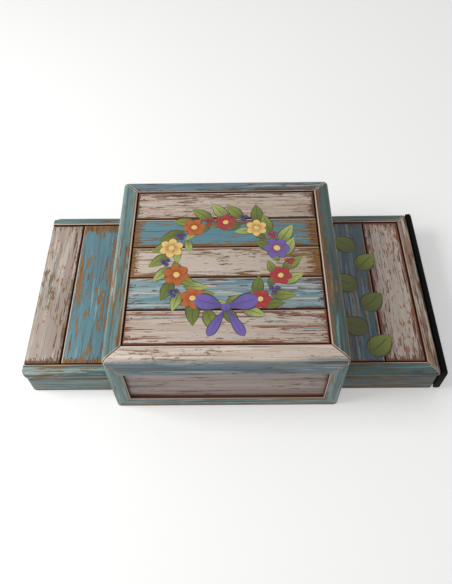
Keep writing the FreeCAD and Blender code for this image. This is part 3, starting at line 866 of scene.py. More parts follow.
@dataclass(frozen=True)
class StripedPaint(Finish):
    """Glossy toy paint in upright stripes with a band round the hem.

    Attributes:
        first, second, hem: The colours of the two stripes and of the band.
        stripes: The number of stripe pairs.
        hem_height: The band's upper edge.
    """

    first: Shade
    second: Shade
    hem: Shade
    stripes: int
    hem_height: float

    def write(self, sheet: ShaderSheet) -> None:
        """Writes the stripes, the hem and the worn spots.

        Args:
            sheet: The material that is written.
        """
        angle = sheet.maths("ARCTAN2", sheet.mm[Axis.Y], sheet.mm[Axis.X])
        wave = sheet.maths("SINE", angle * float(self.stripes))
        colour = sheet.mix(sheet.fade(wave, -0.06, 0.06), self.first, self.second)
        colour = sheet.mix(sheet.fade(abs(wave), 0.08, 0.14, 0.7, 0.0), colour, Shade.INK)
        hem = sheet.fade(sheet.mm[Axis.Z], self.hem_height - 0.1, self.hem_height + 0.1, 1.0, 0.0)
        worn = sheet.noise(Pattern(200.0, 260.0, 4.0), Axis.Z)
        colour = sheet.mix(hem, colour, self.hem)
        colour = sheet.mix(sheet.fade(worn, 0.68, 0.71, 0.0, 0.8), colour, Shade.PINE)
        sheet.set({"Base Color": colour, "Roughness": sheet.fade(worn, 0.35, 0.7, 0.3, 0.5)})
        sheet.bump(worn, 0.1, 0.0002)


@dataclass(frozen=True)
class DollSkin(Finish):
    """Painted wood for the head, with a blush on each cheek.

    Attributes:
        cheek, spread: The right cheek's place and the blush's radius.
    """

    cheek: Point
    spread: float = 4.2

    def write(self, sheet: ShaderSheet) -> None:
        """Writes the skin and the two cheeks.

        Args:
            sheet: The material that is written.
        """
        places = (abs(sheet.mm[Axis.X]), sheet.mm[Axis.Y], sheet.mm[Axis.Z])
        side, ahead, up = (place - cheek for place, cheek in zip(places, self.cheek))
        gap = sheet.maths("SQRT", side * side + ahead * ahead + up * up)
        blush = sheet.fade(gap, self.spread * 0.3, self.spread, 0.75, 0.0)
        tone = sheet.noise(Pattern(180.0, 180.0, 6.0))
        colour = sheet.mix(sheet.fade(tone, 0.35, 0.7, 0.0, 0.35), Shade.SKIN, Shade.CREAM_TAN)
        sheet.set({"Base Color": sheet.mix(blush, colour, Shade.BLUSH),
                   "Roughness": sheet.fade(tone, 0.3, 0.7, 0.34, 0.5)})
        sheet.bump(tone, 0.08, 0.0002)


@dataclass(frozen=True)
class Felt(Finish):
    """Woollen felt in two colours, left and right.

    Attributes:
        left, right, brim: The colours of the two halves and of the rolled brim.
        brim_top, brim_reach: The brim's upper edge and how far out it comes.
    """

    left: Shade
    right: Shade
    brim: Shade
    brim_top: float
    brim_reach: float

    def write(self, sheet: ShaderSheet) -> None:
        """Writes the halves, the brim and the fibres.

        Args:
            sheet: The material that is written.
        """
        fibres = sheet.noise(Pattern(1500.0, 1500.0, 3.0, 4.0, 0.7))
        clumps = sheet.noise(Pattern(300.0, 300.0, 7.0, 3.0, 0.55))
        colour = sheet.mix(sheet.fade(sheet.mm[Axis.X], -0.2, 0.2), self.left, self.right)
        low = sheet.fade(sheet.mm[Axis.Z], self.brim_top - 0.2, self.brim_top + 0.2, 1.0, 0.0)
        near = sheet.fade(abs(sheet.mm[Axis.X]), self.brim_reach, self.brim_reach + 0.3, 1.0, 0.0)
        colour = sheet.mix(low * near, colour, self.brim)
        colour = sheet.mix(sheet.fade(fibres, 0.35, 0.7, 0.0, 0.35), colour, Shade.INK)
        colour = sheet.mix(sheet.fade(clumps, 0.5, 0.75, 0.0, 0.25), colour, Shade.LINEN)
        sheet.set({"Base Color": colour, "Roughness": 0.92, "Sheen Weight": 0.3})
        sheet.bump(fibres, 0.5, 0.0004)


@dataclass(frozen=True)
class Linen(Finish):
    """Plain woven cloth with a coloured hem, on a ring round the neck."""

    hem_radius: float
    threads: float = 11.0

    def write(self, sheet: ShaderSheet) -> None:
        """Writes the weave and the hem.

        Args:
            sheet: The material that is written.
        """
        x, y = sheet.mm[Axis.X], sheet.mm[Axis.Y]
        weave = sheet.maths("SINE", x * self.threads) * sheet.maths("SINE", y * self.threads)
        radius = sheet.maths("SQRT", x * x + y * y)
        slub = sheet.fade(sheet.noise(Pattern(240.0, 240.0, 5.0, 3.0, 0.55)), 0.4, 0.7, 0.0, 0.4)
        hem = sheet.fade(radius, self.hem_radius - 0.1, self.hem_radius + 0.1)
        colour = sheet.mix(hem, sheet.mix(slub, Shade.LINEN, Shade.CREAM_TAN), Shade.RED)
        sheet.set({"Base Color": colour, "Roughness": 0.88, "Sheen Weight": 0.2})
        sheet.bump(weave, 0.35, 0.0002)


@dataclass(frozen=True)
class FlatGloss(Finish):
    """A small painted detail in one colour, with slight dabs of the brush."""

    colour: Shade
    roughness: float = 0.25

    def write(self, sheet: ShaderSheet) -> None:
        """Writes the dabs on a material."""
        dabs = sheet.fade(sheet.noise(Pattern(600.0, 600.0, 2.0, 3.0, 0.55)), 0.4, 0.75, 0.0, 0.3)
        sheet.set({"Base Color": sheet.mix(dabs, self.colour, Shade.CREAM), "Roughness": self.roughness})


TAN_WASH = Streaks(Shade.CREAM_TAN, 9.0, 170.0, 0.49, 0.14, 0.8)
WHITE_WASH = Streaks(Shade.CREAM_PALE, 12.0, 330.0, 0.54, 0.06, 0.8)
# painted highlight: whitewash streaks brightened for the lid's front edge
HIGHLIGHT_STREAKS = Streaks(Shade.CREAM_HIGHLIGHT, 10.0, 360.0, 0.55, 0.04, 0.85)
OCHRE_FLECKS = Streaks(Shade.OCHRE, 52.0, 430.0, 0.625, 0.025, 0.92, 0.4, 0.06, 0.5)
OCHRE_CHIPS = Streaks(Shade.OCHRE, 50.0, 400.0, 0.598, 0.015, 0.95, 0.35, 0.07, 0.6)
OCHRE_SPOTS = Streaks(Shade.OCHRE, 44.0, 430.0, 0.635, 0.03, 0.9, 0.3)
OCHRE_STREAKS = Streaks(Shade.OCHRE, 16.0, 400.0, 0.58, 0.05, 0.85, 0.4)
OCHRE_THREADS = Streaks(Shade.OCHRE, 18.0, 430.0, 0.585, 0.04, 0.85, 0.1)
OLIVE_DASHES = Streaks(Shade.OLIVE, 96.0, 560.0, 0.61, 0.03, 0.9, 0.3, 0.07)
UMBER_DASHES = Streaks(Shade.UMBER, 64.0, 460.0, 0.615, 0.03, 0.9, 0.35, 0.07)
RUST_STREAKS = Streaks(Shade.RUST, 22.0, 400.0, 0.58, 0.04, 0.85, 0.4)
RUST_DASHES = Streaks(Shade.RUST, 110.0, 560.0, 0.565, 0.04, 0.8, 0.4)
TEAL_STREAKS = Streaks(Shade.TEAL, 8.0, 330.0, 0.59, 0.04, 0.85, 0.4)
TEAL_WISPS = Streaks(Shade.TEAL, 10.0, 360.0, 0.61, 0.04, 0.8, 0.4)
TEAL_THREADS = Streaks(Shade.TEAL_DEEP, 4.0, 360.0, 0.605, 0.03, 0.9, 0.3)
MAUVE_STREAKS = Streaks(Shade.MAUVE_DEEP, 9.0, 330.0, 0.54, 0.05, 0.85)
FINE_SPECKS = Streaks(Shade.UMBER, 190.0, 620.0, 0.61, 0.04, 0.7, 0.3, 0.04)
GRAIN_LINES = Streaks(Shade.UMBER, 10.0, 700.0, 0.56, 0.08, 0.55, 0.2)

CREAM_RUSTY = OldPaint(
    Shade.CREAM, Shade.CREAM_PALE,
    (TAN_WASH, WHITE_WASH, TEAL_STREAKS, RUST_STREAKS, FINE_SPECKS, UMBER_DASHES),
    Shade.RUST, chip_level=0.635)
CREAM_CRACKED = OldPaint(
    Shade.CREAM, Shade.CREAM_PALE, (WHITE_WASH, RUST_DASHES, TEAL_THREADS, UMBER_DASHES), Shade.RUST,
    chip_level=0.63)
CREAM_TEAL = OldPaint(
    Shade.CREAM_PINK, Shade.CREAM, (WHITE_WASH, TEAL_WISPS, OLIVE_DASHES, OCHRE_SPOTS),
    Shade.OLIVE, 0.4, 0.65)
CREAM_OCHRE = OldPaint(
    Shade.CREAM_WARM, Shade.CREAM_PALE, (WHITE_WASH, OCHRE_STREAKS, OCHRE_FLECKS, FINE_SPECKS, UMBER_DASHES),
    brush_share=0.5, chip_level=0.64)
CREAM_BROWN = OldPaint(
    Shade.CREAM, Shade.CREAM_TAN, (WHITE_WASH, RUST_STREAKS, UMBER_DASHES, FINE_SPECKS),
    Shade.UMBER, 0.5, 0.65)
# painted shade: a darker copy of the cream for the right wing's end rail and end wall
CREAM_SHADED = OldPaint(
    Shade.CREAM_SHADED, Shade.CREAM_PINK, (WHITE_WASH, OCHRE_STREAKS, GRAIN_LINES, UMBER_DASHES), Shade.UMBER)
MAUVE_WASH = OldPaint(Shade.MAUVE, Shade.MAUVE_PALE, (MAUVE_STREAKS, GRAIN_LINES, UMBER_DASHES))
BLUE_CLEAR = OldPaint(
    Shade.BLUE, Shade.BLUE_DEEP,
    (Streaks(Shade.BLUE_PALE, 20.0, 420.0, 0.62, 0.06, 0.6), GRAIN_LINES, OCHRE_CHIPS),
    brush_share=0.3, chip_level=0.64)
BLUE_STREAKY = OldPaint(
    Shade.BLUE, Shade.BLUE_PALE,
    (Streaks(Shade.BLUE_DEEP, 7.0, 330.0, 0.585, 0.07, 0.7),
     Streaks(Shade.BLUE_GREY, 11.0, 260.0, 0.50, 0.08, 0.8),
     Streaks(Shade.CREAM_PALE, 17.0, 400.0, 0.56, 0.05, 0.9), UMBER_DASHES), Shade.UMBER, 0.9)
# painted shade: a darker copy of the blue plank paint for the right wing's inner plank
BLUE_SHADED = OldPaint(
    Shade.BLUE_PAINTED_SHADE, Shade.BLUE_DEEP,
    (Streaks(Shade.BLUE_GREY, 9.0, 300.0, 0.56, 0.06, 0.85), GRAIN_LINES, OCHRE_FLECKS, UMBER_DASHES),
    Shade.UMBER)
BLUE_RAIL = OldPaint(
    Shade.BLUE_RAIL, Shade.BLUE_GREY,
    (Streaks(Shade.BLUE_RAIL_DEEP, 9.0, 220.0, 0.51, 0.05, 0.9),
     Streaks(Shade.BLUE_PALE, 12.0, 240.0, 0.57, 0.04, 0.9), GRAIN_LINES, UMBER_DASHES), Shade.UMBER)
TEAL_RAIL = OldPaint(
    Shade.TEAL, Shade.TEAL_PALE,
    (Streaks(Shade.TEAL_DEEP, 9.0, 260.0, 0.52, 0.05, 0.85),
     Streaks(Shade.TEAL_PALE, 14.0, 280.0, 0.575, 0.04, 0.9), OCHRE_FLECKS, GRAIN_LINES), brush_share=0.4)
# painted shade: a darker copy of the teal paint for the right wing's rails and walls, in the tower's shadow
TEAL_IN_PAINTED_SHADE = OldPaint(
    Shade.TEAL_PAINTED_SHADE, Shade.TEAL_DEEP,
    (Streaks(Shade.TEAL_SHADE, 9.0, 230.0, 0.54, 0.05, 0.85),
     Streaks(Shade.TEAL, 12.0, 250.0, 0.56, 0.05, 0.9), OCHRE_FLECKS, GRAIN_LINES, UMBER_DASHES))
# painted shade: a darker copy of the teal rail paint for the lid's right rail, on its shaded side
TEAL_SHADED = OldPaint(
    Shade.TEAL_RAIL_PAINTED_SHADE, Shade.TEAL_SHADE,
    (Streaks(Shade.TEAL_SHADE, 10.0, 240.0, 0.51, 0.05, 0.9),
     Streaks(Shade.TEAL, 12.0, 260.0, 0.58, 0.05, 0.85), OCHRE_FLECKS, GRAIN_LINES, UMBER_DASHES),
    Shade.OLIVE)
# painted highlight: the front rail's whites are brightened where its edge catches the light
LID_FRONT = RoundedFrontPaint(
    Shade.CREAM_FRONT, Shade.CREAM_HIGHLIGHT,
    (WHITE_WASH, HIGHLIGHT_STREAKS, OCHRE_THREADS, FINE_SPECKS, GRAIN_LINES), edge=BLUE_RAIL, corner=TEAL_RAIL)

GREEN_LEAVES = MotifPaint((Shade.LEAF, Shade.LEAF_PALE, Shade.LEAF_DEEP), Shade.LEAF_DARK, rib=True)
OLIVE_LEAVES = MotifPaint((Shade.LEAF_DEEP, Shade.LEAF_OLIVE, Shade.LEAF), Shade.LEAF_DARK, rib=True)
HARVEST_PETALS = MotifPaint((Shade.PURPLE, Shade.BUTTER, Shade.RED, Shade.ORANGE), Shade.ORANGE_DARK)
BERRY_SKINS = MotifPaint((Shade.RED, Shade.PURPLE_DARK), Shade.INK, outline=0.93)
RIBBON = MotifPaint((Shade.PURPLE,), Shade.PURPLE_DARK, rib=True)


def new_object(name: str, mesh: Mesh) -> Object:
    """Puts a mesh into the scene at the origin.

    Args:
        name: The object's name.
        mesh: The mesh.

    Returns:
        The object.
    """
    piece = bpy.data.objects.new(name, mesh)
    bpy.context.scene.collection.objects.link(piece)
    return piece


def smooth_object(name: str, mesh: Mesh, sharp: float = SHARP_ANGLE) -> Object:
    """Puts a mesh into the scene with smooth faces.

    Args:
        name: The object's name.
        mesh: The mesh.
        sharp: The angle above which an edge stays sharp.

    Returns:
        The object.
    """
    mesh.polygons.foreach_set("use_smooth", [True] * len(mesh.polygons))
    mesh.set_sharp_from_angle(angle=sharp)
    return new_object(name, mesh)


def object_from(name: str, shape: Shape, sharp: float = SHARP_ANGLE) -> Object:
    """Turns a bmesh into a smooth object.

    Args:
        name: The object's name.
        shape: The bmesh, which is freed.
        sharp: The angle above which an edge stays sharp.

    Returns:
        The object.
    """
    mesh = bpy.data.meshes.new(name)
    shape.to_mesh(mesh)
    shape.free()
    return smooth_object(name, mesh, sharp)


def points_object(places: Sequence[Point]) -> Object:
    """Makes an object of bare points.

    Args:
        places: Where they are.

    Returns:
        The object.
    """
    mesh = bpy.data.meshes.new("points")
    mesh.from_pydata([Vector(place) * MM for place in places], [], [])
    return new_object("points", mesh)


def settled_mesh(source: Object) -> Mesh:
    """An object's mesh with its modifiers worked in, after which the object is removed.

    Args:
        source: The object.

    Returns:
        The plain mesh.
    """
    graph = bpy.context.evaluated_depsgraph_get()
    mesh = bpy.data.meshes.new_from_object(source.evaluated_get(graph), preserve_all_data_layers=True,
                                           depsgraph=graph)
    source.modifiers.clear()
    bpy.data.objects.remove(source)
    return mesh


@dataclass(frozen=True)
class RoundCorner:
    """An upright corner of the box that is rounded, through every piece that reaches into it.

    Attributes:
        x, y: The square corner's place.
        radius, steps: The rounding's radius, and the number of cuts that make it round.
    """

    x: float
    y: float
    radius: float
    steps: int = 6

    def ease(self, shape: Shape) -> None:
        """Rounds a shape's part in the corner.

        Args:
            shape: The bmesh.
        """
        middle = CAD_BOX[0].lerp(CAD_BOX[1], 0.5)
        way = Vector((math.copysign(1.0, self.x * MM - middle.x), math.copysign(1.0, self.y * MM - middle.y)))
        radius = self.radius * MM
        centre = Vector((self.x * MM - way.x * radius, self.y * MM - way.y * radius))

        def into(vert: bmesh.types.BMVert) -> Vector:
            """How far a vertex is into the corner, along x and y."""
            return Vector(((vert.co.x - centre.x) * way.x, (vert.co.y - centre.y) * way.y))

        if not any(min(into(vert)) > MERGE_DISTANCE for vert in shape.verts):
            return
        for step in range(self.steps):
            for axis in (0, 1):
                place, square = Vector((0.0, 0.0, 0.0)), Vector((0.0, 0.0, 0.0))
                place[axis] = centre[axis] + way[axis] * radius * step / self.steps
                square[axis] = 1.0
                bmesh.ops.bisect_plane(shape, geom=[*shape.verts, *shape.edges, *shape.faces], plane_co=place,
                                       plane_no=square, dist=MERGE_DISTANCE)
        for vert in shape.verts:
            depth = into(vert)
            if min(depth) > MERGE_DISTANCE:
                depth *= max(depth) / depth.length
                vert.co.x, vert.co.y = centre.x + depth.x * way.x, centre.y + depth.y * way.y


TOWER_HALF, WING_FRONT, LEFT_END, RIGHT_END = 97.0, -82.8, -175.3, 182.3
ROUND_CORNERS = (
    *(RoundCorner(x, y, 4.5) for x in (-TOWER_HALF, TOWER_HALF) for y in (-TOWER_HALF, TOWER_HALF)),
    RoundCorner(LEFT_END, WING_FRONT, 5.0), RoundCorner(LEFT_END, TOWER_HALF, 6.5),
    RoundCorner(RIGHT_END, WING_FRONT, 2.5), RoundCorner(RIGHT_END, TOWER_HALF, 2.5))


def eased_copy(node: str, bevel: float) -> Object:
    """A copy of a CAD node with its box corners rounded and its sharp edges eased.

    Args:
        node: The CAD node.
        bevel: The width of the eased edges.

    Returns:
        The copy.
    """
    shape = bmesh.new()
    shape.from_mesh(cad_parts[node].data)
    bmesh.ops.remove_doubles(shape, verts=shape.verts, dist=MERGE_DISTANCE)
    bmesh.ops.dissolve_limit(shape, angle_limit=FLAT_ANGLE, verts=shape.verts, edges=shape.edges)
    for corner in ROUND_CORNERS:
        corner.ease(shape)
    edges = [edge for edge in shape.edges if edge.is_manifold and edge.calc_face_angle(0.0) > SHARP_ANGLE]
    if bevel > 0.0:
        bmesh.ops.bevel(shape, geom=edges, offset=bevel * MM, segments=2, profile=0.6, affect="EDGES",
                        clamp_overlap=True)
    return object_from(f"{node}.shown", shape)


class Assembly:
    """A group of pieces that ride on one body."""

    body: str

    def carry(self, piece: Object, slot: str = "", *nodes: str) -> Object:
        """Lets a finished piece ride on the body.

        Args:
            piece: The finished piece.
            slot: The record's material slot for the piece; not used.
            nodes: The CAD nodes that it stands for.

        Returns:
            The piece.
        """
        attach(piece, self.body)
        if nodes:
            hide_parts(*nodes)
        LOG.info("%s rides on %s", piece.name, self.body)
        return piece

    def show(self, piece: Object, material: Material, slot: str = "", *nodes: str) -> Object:
        """Gives a piece its material and lets it ride on the body."""
        piece.data.materials.append(material)
        return self.carry(piece, slot, *nodes)

    def paint_board(self, node: str, paint: OldPaint, slot: str, wear: Wear, bevel: float = 0.35) -> None:
        """Shows a CAD board in old paint, as a copy with edges that are eased by the bevel."""
        self.show(eased_copy(node, bevel), paint.dress(f"{node}_paint", Box.of(node), wear), slot, node)

    def keep(self, material: Material, *nodes: str) -> None:
        """Keeps CAD nodes as they are and gives them a material.

        Args:
            material: The material.
            nodes: The CAD nodes.
        """
        for node in nodes:
            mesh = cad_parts[node].data
            mesh.materials.clear()
            mesh.materials.append(material)
            LOG.info("%s keeps its CAD shape", node)


class Kind(Enum):
    """What an input of a tree takes."""

    NUMBER = "NodeSocketFloat"
    COUNT = "NodeSocketInt"
    PLACE = "NodeSocketVector"
    MATERIAL = "NodeSocketMaterial"
    GEOMETRY = "NodeSocketGeometry"


class PatternTree(Graph):
    """Writes one Geometry Nodes tree that ends in Realize Instances and Set Material."""

    def __init__(self, name: str) -> None:
        """Starts a tree with a geometry input and output and a material input.

        Args:
            name: The tree's name.
        """
        super().__init__(bpy.data.node_groups.new(name, "GeometryNodeTree"))
        self.tree.interface.new_socket("Geometry", in_out="OUTPUT", socket_type=Kind.GEOMETRY.value)
        self.inlet = self.tree.nodes.new("NodeGroupInput")
        self.names: dict[str, str] = {}
        self.source, = self.inputs(Kind.GEOMETRY, "Geometry")
        self.material, = self.inputs(Kind.MATERIAL, "Material")

    def inputs(self, kind: Kind, *names: str) -> list[Term]:
        """Adds named inputs of one kind to the tree.

        Args:
            kind: What they take.
            names: Their names.

        Returns:
            Their values inside the tree.
        """
        for name in names:
            item = self.tree.interface.new_socket(name, in_out="INPUT", socket_type=kind.value)
            self.names[name] = item.identifier
        return [Term(self, self.inlet.outputs[name]) for name in names]

    def vector(self, x: Feed = 0.0, y: Feed = 0.0, z: Feed = 0.0) -> Term:
        """Three numbers as a place, a size or three turns."""
        return self.add("ShaderNodeCombineXYZ", {"X": x, "Y": y, "Z": z})

    def index(self) -> Term:
        """The number of each point."""
        return self.add("GeometryNodeInputIndex")

    def random(self, low: Feed, high: Feed, seed: Term) -> Term:
        """A random number for each point, from a fixed seed."""
        return self.add("FunctionNodeRandomValue", {2: low, 3: high, "Seed": seed}, 1, data_type="FLOAT")

    def turned(self, about_x: Feed, about_z: Feed) -> Term:
        """A rotation about the x axis and the upright axis."""
        return self.add("FunctionNodeEulerToRotation", {"Euler": self.vector(about_x, 0.0, about_z)})

    def ball(self, segments: int, rings: int, radius: Feed) -> Term:
        """A ball at the origin."""
        return self.add("GeometryNodeMeshUVSphere", {"Segments": segments, "Rings": rings, "Radius": radius})

    def rod(self, sides: int, radius: Feed, length: Feed) -> Term:
        """An upright cylinder round the origin."""
        return self.add("GeometryNodeMeshCylinder", {"Vertices": sides, "Radius": radius, "Depth": length})

    def tube(self, curve: Term, sides: int, radius: Feed) -> Term:
        """A closed tube along a curve."""
        section = self.add("GeometryNodeCurvePrimitiveCircle", {"Resolution": sides, "Radius": radius})
        return self.add("GeometryNodeCurveToMesh",
                        {"Curve": curve, "Profile Curve": section, "Fill Caps": True})

    def row(self, count: Term, place: Term) -> Term:
        """A number of points, each moved to its own place."""
        line = self.add("GeometryNodeMeshLine", {"Count": count})
        return self.add("GeometryNodeSetPosition", {"Geometry": line, "Position": place})

    def copies(self, points: Term, shape: Term, **changes: Term) -> Term:
        """A copy of a shape on each point, with its own Rotation or Scale where they are given."""
        return self.add("GeometryNodeInstanceOnPoints", {"Points": points, "Instance": shape, **changes})

    def marked(self, shape: Term, name: str, value: Term, domain: str) -> Term:
        """Stores a number with a shape, under the name that it is read by."""
        values = {"Geometry": shape, "Name": name, "Value": value}
        return self.add("GeometryNodeStoreNamedAttribute", values, data_type="FLOAT", domain=domain)

    def tinted(self, copies: Term, seed: Term) -> Term:
        """Gives each copy a random tint that its paint reads."""
        return self.marked(copies, "tint", self.random(0.0, 1.0, seed), "INSTANCE")

    def moved(self, shape: Term, place: Term) -> Term:
        """Moves a shape."""
        return self.add("GeometryNodeTransform", {"Geometry": shape, "Translation": place})

    def close(self, shape: Term) -> None:
        """Ends the tree in real faces with the material set.

        Args:
            shape: What the tree has made.
        """
        real = self.add("GeometryNodeRealizeInstances", {"Geometry": shape})
        painted = self.add("GeometryNodeSetMaterial", {"Geometry": real, "Material": self.material})
        self.feed(self.tree.nodes.new("NodeGroupOutput").inputs[0], painted)

    def settle(self, name: str, material: Material, values: dict[str, Any],
               source: Optional[Object] = None) -> Object:
        """Runs the tree and keeps the result as a plain mesh.

        Args:
            name: The new piece's name.
            material: Its material.
            values: The tree's other inputs by name.
            source: The object that the tree starts from, which is removed, if it needs one.

        Returns:
            The new piece.
        """
        source = source or points_object([])
        modifier = source.modifiers.new(self.tree.name, "NODES")
        modifier.node_group = self.tree
        for key, value in {**values, "Material": material}.items():
            modifier[self.names[key]] = value
        mesh = settled_mesh(source)
        mesh.name = name
        return smooth_object(name, mesh)


@dataclass
class Studio:
    """The pale floor, the soft light and the camera.

    Attributes:
        camera_place: The camera's place.
        pitch, yaw: How far it looks down and to the side, in degrees.
        roll: How far it is turned about its own line of sight.
        lens, film: Its focal length and the height of its picture.
        key_place, key_aim: The key light's place and what it points at, in metres.
        key_power, key_size: The key light's power and its width.
        sky: The level of the even light from all round.
        floor_size, floor_height: The floor's width and height, in metres.
        floor_glow: How far the floor is lifted where it is seen.
    """

    camera_place: Point = (5.35, -313.33, 486.36)
    pitch: float = 55.277
    yaw: float = -1.062
    roll: float = 1.367
    lens: float = 36.739
    film: float = 36.0
    key_place: Point = (-0.85, -0.10, 0.75)
    key_aim: Point = (0.0, 0.0, 0.05)
    key_power: float = 8.0
    key_size: float = 0.5
    sky: float = 0.42
    floor_size: float = 6.0
    floor_height: float = -0.0002
    floor_glow: float = 0.30

    def camera(self) -> None:
        """Makes the camera at the photograph's angle."""
        pitch, yaw, roll = (math.radians(angle) for angle in (self.pitch, self.yaw, self.roll))
        ahead = Vector((math.sin(yaw) * math.cos(pitch), math.cos(yaw) * math.cos(pitch), -math.sin(pitch)))
        right = Vector((math.cos(yaw), -math.sin(yaw), 0.0))
        down = ahead.cross(right)
        across = right * math.cos(roll) + down * math.sin(roll)
        below = down * math.cos(roll) - right * math.sin(roll)
        turn = Matrix((across, -below, -ahead)).transposed().to_4x4()
        data = bpy.data.cameras.new("camera")
        data.sensor_fit = "VERTICAL"
        data.sensor_height = self.film
        data.lens = self.lens
        data.clip_start = 0.01
        data.dof.use_dof = False
        camera = new_object("camera", data)
        camera.matrix_world = Matrix.Translation(Vector(self.camera_place) * MM) @ turn
        bpy.context.scene.camera = camera

    def seen_share(self, graph: Graph) -> Term:
        """1 for rays that show the background as it is: from the camera, a gloss or a glass."""
        camera, gloss, glass = (graph.add("ShaderNodeLightPath", out=f"Is {ray} Ray")
                                for ray in ("Camera", "Glossy", "Transmission"))
        return graph.maths("MAXIMUM", graph.maths("MAXIMUM", camera, gloss), glass)

    def world(self) -> None:
        """An even pale light from all round, and a white background."""
        world = bpy.data.worlds.new("studio")
        world.use_nodes = True
        bpy.context.scene.world = world
        graph = Graph(world.node_tree)
        background = graph.tree.nodes["Background"]
        level = graph.add("ShaderNodeMapRange", {0: self.seen_share(graph), 3: self.sky, 4: 1.0})
        graph.feed(background.inputs["Color"], Shade.WHITE)
        graph.feed(background.inputs["Strength"], level)

    def floor(self) -> None:
        """A wide pale floor that keeps the object's shadow."""
        shape = bmesh.new()
        bmesh.ops.create_grid(shape, x_segments=1, y_segments=1, size=self.floor_size / 2)
        floor = object_from("floor", shape)
        floor.location.z = self.floor_height
        sheet = ShaderSheet("pale_floor")
        tint = sheet.noise(Pattern(3.0, 3.0, 1.0, 2.0, 0.55))
        sheet.set({"Base Color": sheet.mix(tint, Shade.FLOOR, Shade.FLOOR_PALE), "Roughness": 0.9,
                   "Emission Color": Shade.WHITE,
                   "Emission Strength": self.seen_share(sheet) * self.floor_glow})
        floor.data.materials.append(sheet.material)

    def key(self) -> None:
        """A soft square key light."""
        data = bpy.data.lights.new("key", "AREA")
        data.energy = self.key_power
        data.size = self.key_size
        lamp = new_object("key", data)
        lamp.location = self.key_place
        way = Vector(self.key_aim) - Vector(self.key_place)
        lamp.rotation_euler = way.to_track_quat("-Z", "Y").to_euler()

    def build(self) -> None:
        """Sets up the whole studio."""
        bpy.context.scene.view_settings.view_transform = "Standard"
        self.camera()
        self.world()
        self.floor()
        self.key()
        LOG.info("studio is set")


DIAGONAL = math.sqrt(0.5)
PLANK_RIM = Sides(0.35, 0.35, 0.35, 0.35)


@dataclass
class Tower(Assembly):
    """The case's middle: its boards, and the frame on its front.

    Attributes:
        half_width: Half its width.
        top: The height of the lid's top, where the front's mitres run to.
        stile_inner, rail_line: The stiles' inner line from the middle, and the top rail's lower edge.
        panel_back: The inner face of the front's panel and of the back board, from the middle.
        frame_back: The inner face of the front's frame pieces.
        panel_ends: Between which places the panel's ends turn teal.
        field_depth, field_edge: The depth of the sides' fields, and of the change of colour at their rim.
        wall_paint: How far the paint reaches into the side walls past a field.
    """

    body: str = "case"
    half_width: float = TOWER_HALF
    top: float = 80.5
    stile_inner: float = 82.5
    rail_line: float = 57.2
    panel_back: float = 88.2
    frame_back: float = 94.2
    panel_ends: tuple[float, float] = (96.8, 96.9)
    field_depth: float = 2.5
    field_edge: float = 0.4
    wall_paint: float = 1.0

    def mitre(self, sign: int) -> Mitre:
        """Finds the mitre between the front's top rail and a stile.

        Args:
            sign: -1 for the left stile and 1 for the right one.

        Returns:
            The mitre line.
        """
        rise, run = self.top - self.rail_line, self.half_width - self.stile_inner
        length = math.hypot(rise, run)
        return Mitre((sign * self.stile_inner, self.rail_line), (sign * rise / length, -run / length))

    def front(self) -> None:
        """The panel and its four frame pieces."""
        ends = SecondCoat(Axis.X, *self.panel_ends, Shade.TEAL, True)
        self.paint_board("front_board", MAUVE_WASH, "whitewash", Wear(
            Plane.FRONT, Axis.X, 1.3, limit=Limit(Axis.Y, -self.panel_back, False), second=ends), 0.0)
        limit = Limit(Axis.Y, -self.frame_back, False)
        self.paint_board("front_top_rail", BLUE_RAIL, "blue_paint", Wear(
            Plane.FRONT, Axis.X, 5.1, Sides(low_v=0.8), Sides(low_v=0.5), Sides(low_v=0.6),
            (self.mitre(-1), self.mitre(1)), limit))
        self.paint_board("front_bottom_rail", TEAL_RAIL, "teal_paint", Wear(
            Plane.FRONT, Axis.X, 9.4, Sides(low_v=1.5, high_v=1.0), Sides(high_v=0.5), Sides(high_v=0.6),
            limit=limit))
        for side, sign, sides in (("left", -1, Sides(high_u=0.5)), ("right", 1, Sides(low_u=0.5))):
            self.paint_board(f"front_{side}_stile", TEAL_RAIL, "teal_paint", Wear(
                Plane.FRONT, Axis.Z, 13.0 + sign, sides, sides, sides, (self.mitre(sign),), limit))

    def sides(self) -> None:
        """The back board and the two side walls, with their sunk fields."""
        inside = self.half_width - self.field_depth
        for side, sign in (("left", -1), ("right", 1)):
            field = SecondCoat(Axis.X, sign * (inside + self.field_edge), sign * inside, Shade.CREAM_PINK)
            limit = Limit(Axis.X, sign * (inside - self.wall_paint), sign > 0)
            self.paint_board(f"{side}_wall", TEAL_RAIL, "teal_paint", Wear(
                Plane.SIDE, Axis.Y, 17.0 + sign, Sides(2.0, 2.0, 2.0, 1.0), limit=limit, second=field))
        field = SecondCoat(Axis.Y, inside + self.field_edge, inside, Shade.BLUE)
        self.paint_board("back_board", TEAL_RAIL, "teal_paint", Wear(
            Plane.FRONT, Axis.X, 21.7, Sides(low_v=2.0, high_v=0.6),
            limit=Limit(Axis.Y, self.panel_back, True), second=field))

    def build(self) -> None:
        """Dresses the tower."""
        self.front()
        self.sides()
        self.keep(BareWood(Axis.X, 2.0).dress("bottom_wood"), "bottom_board")


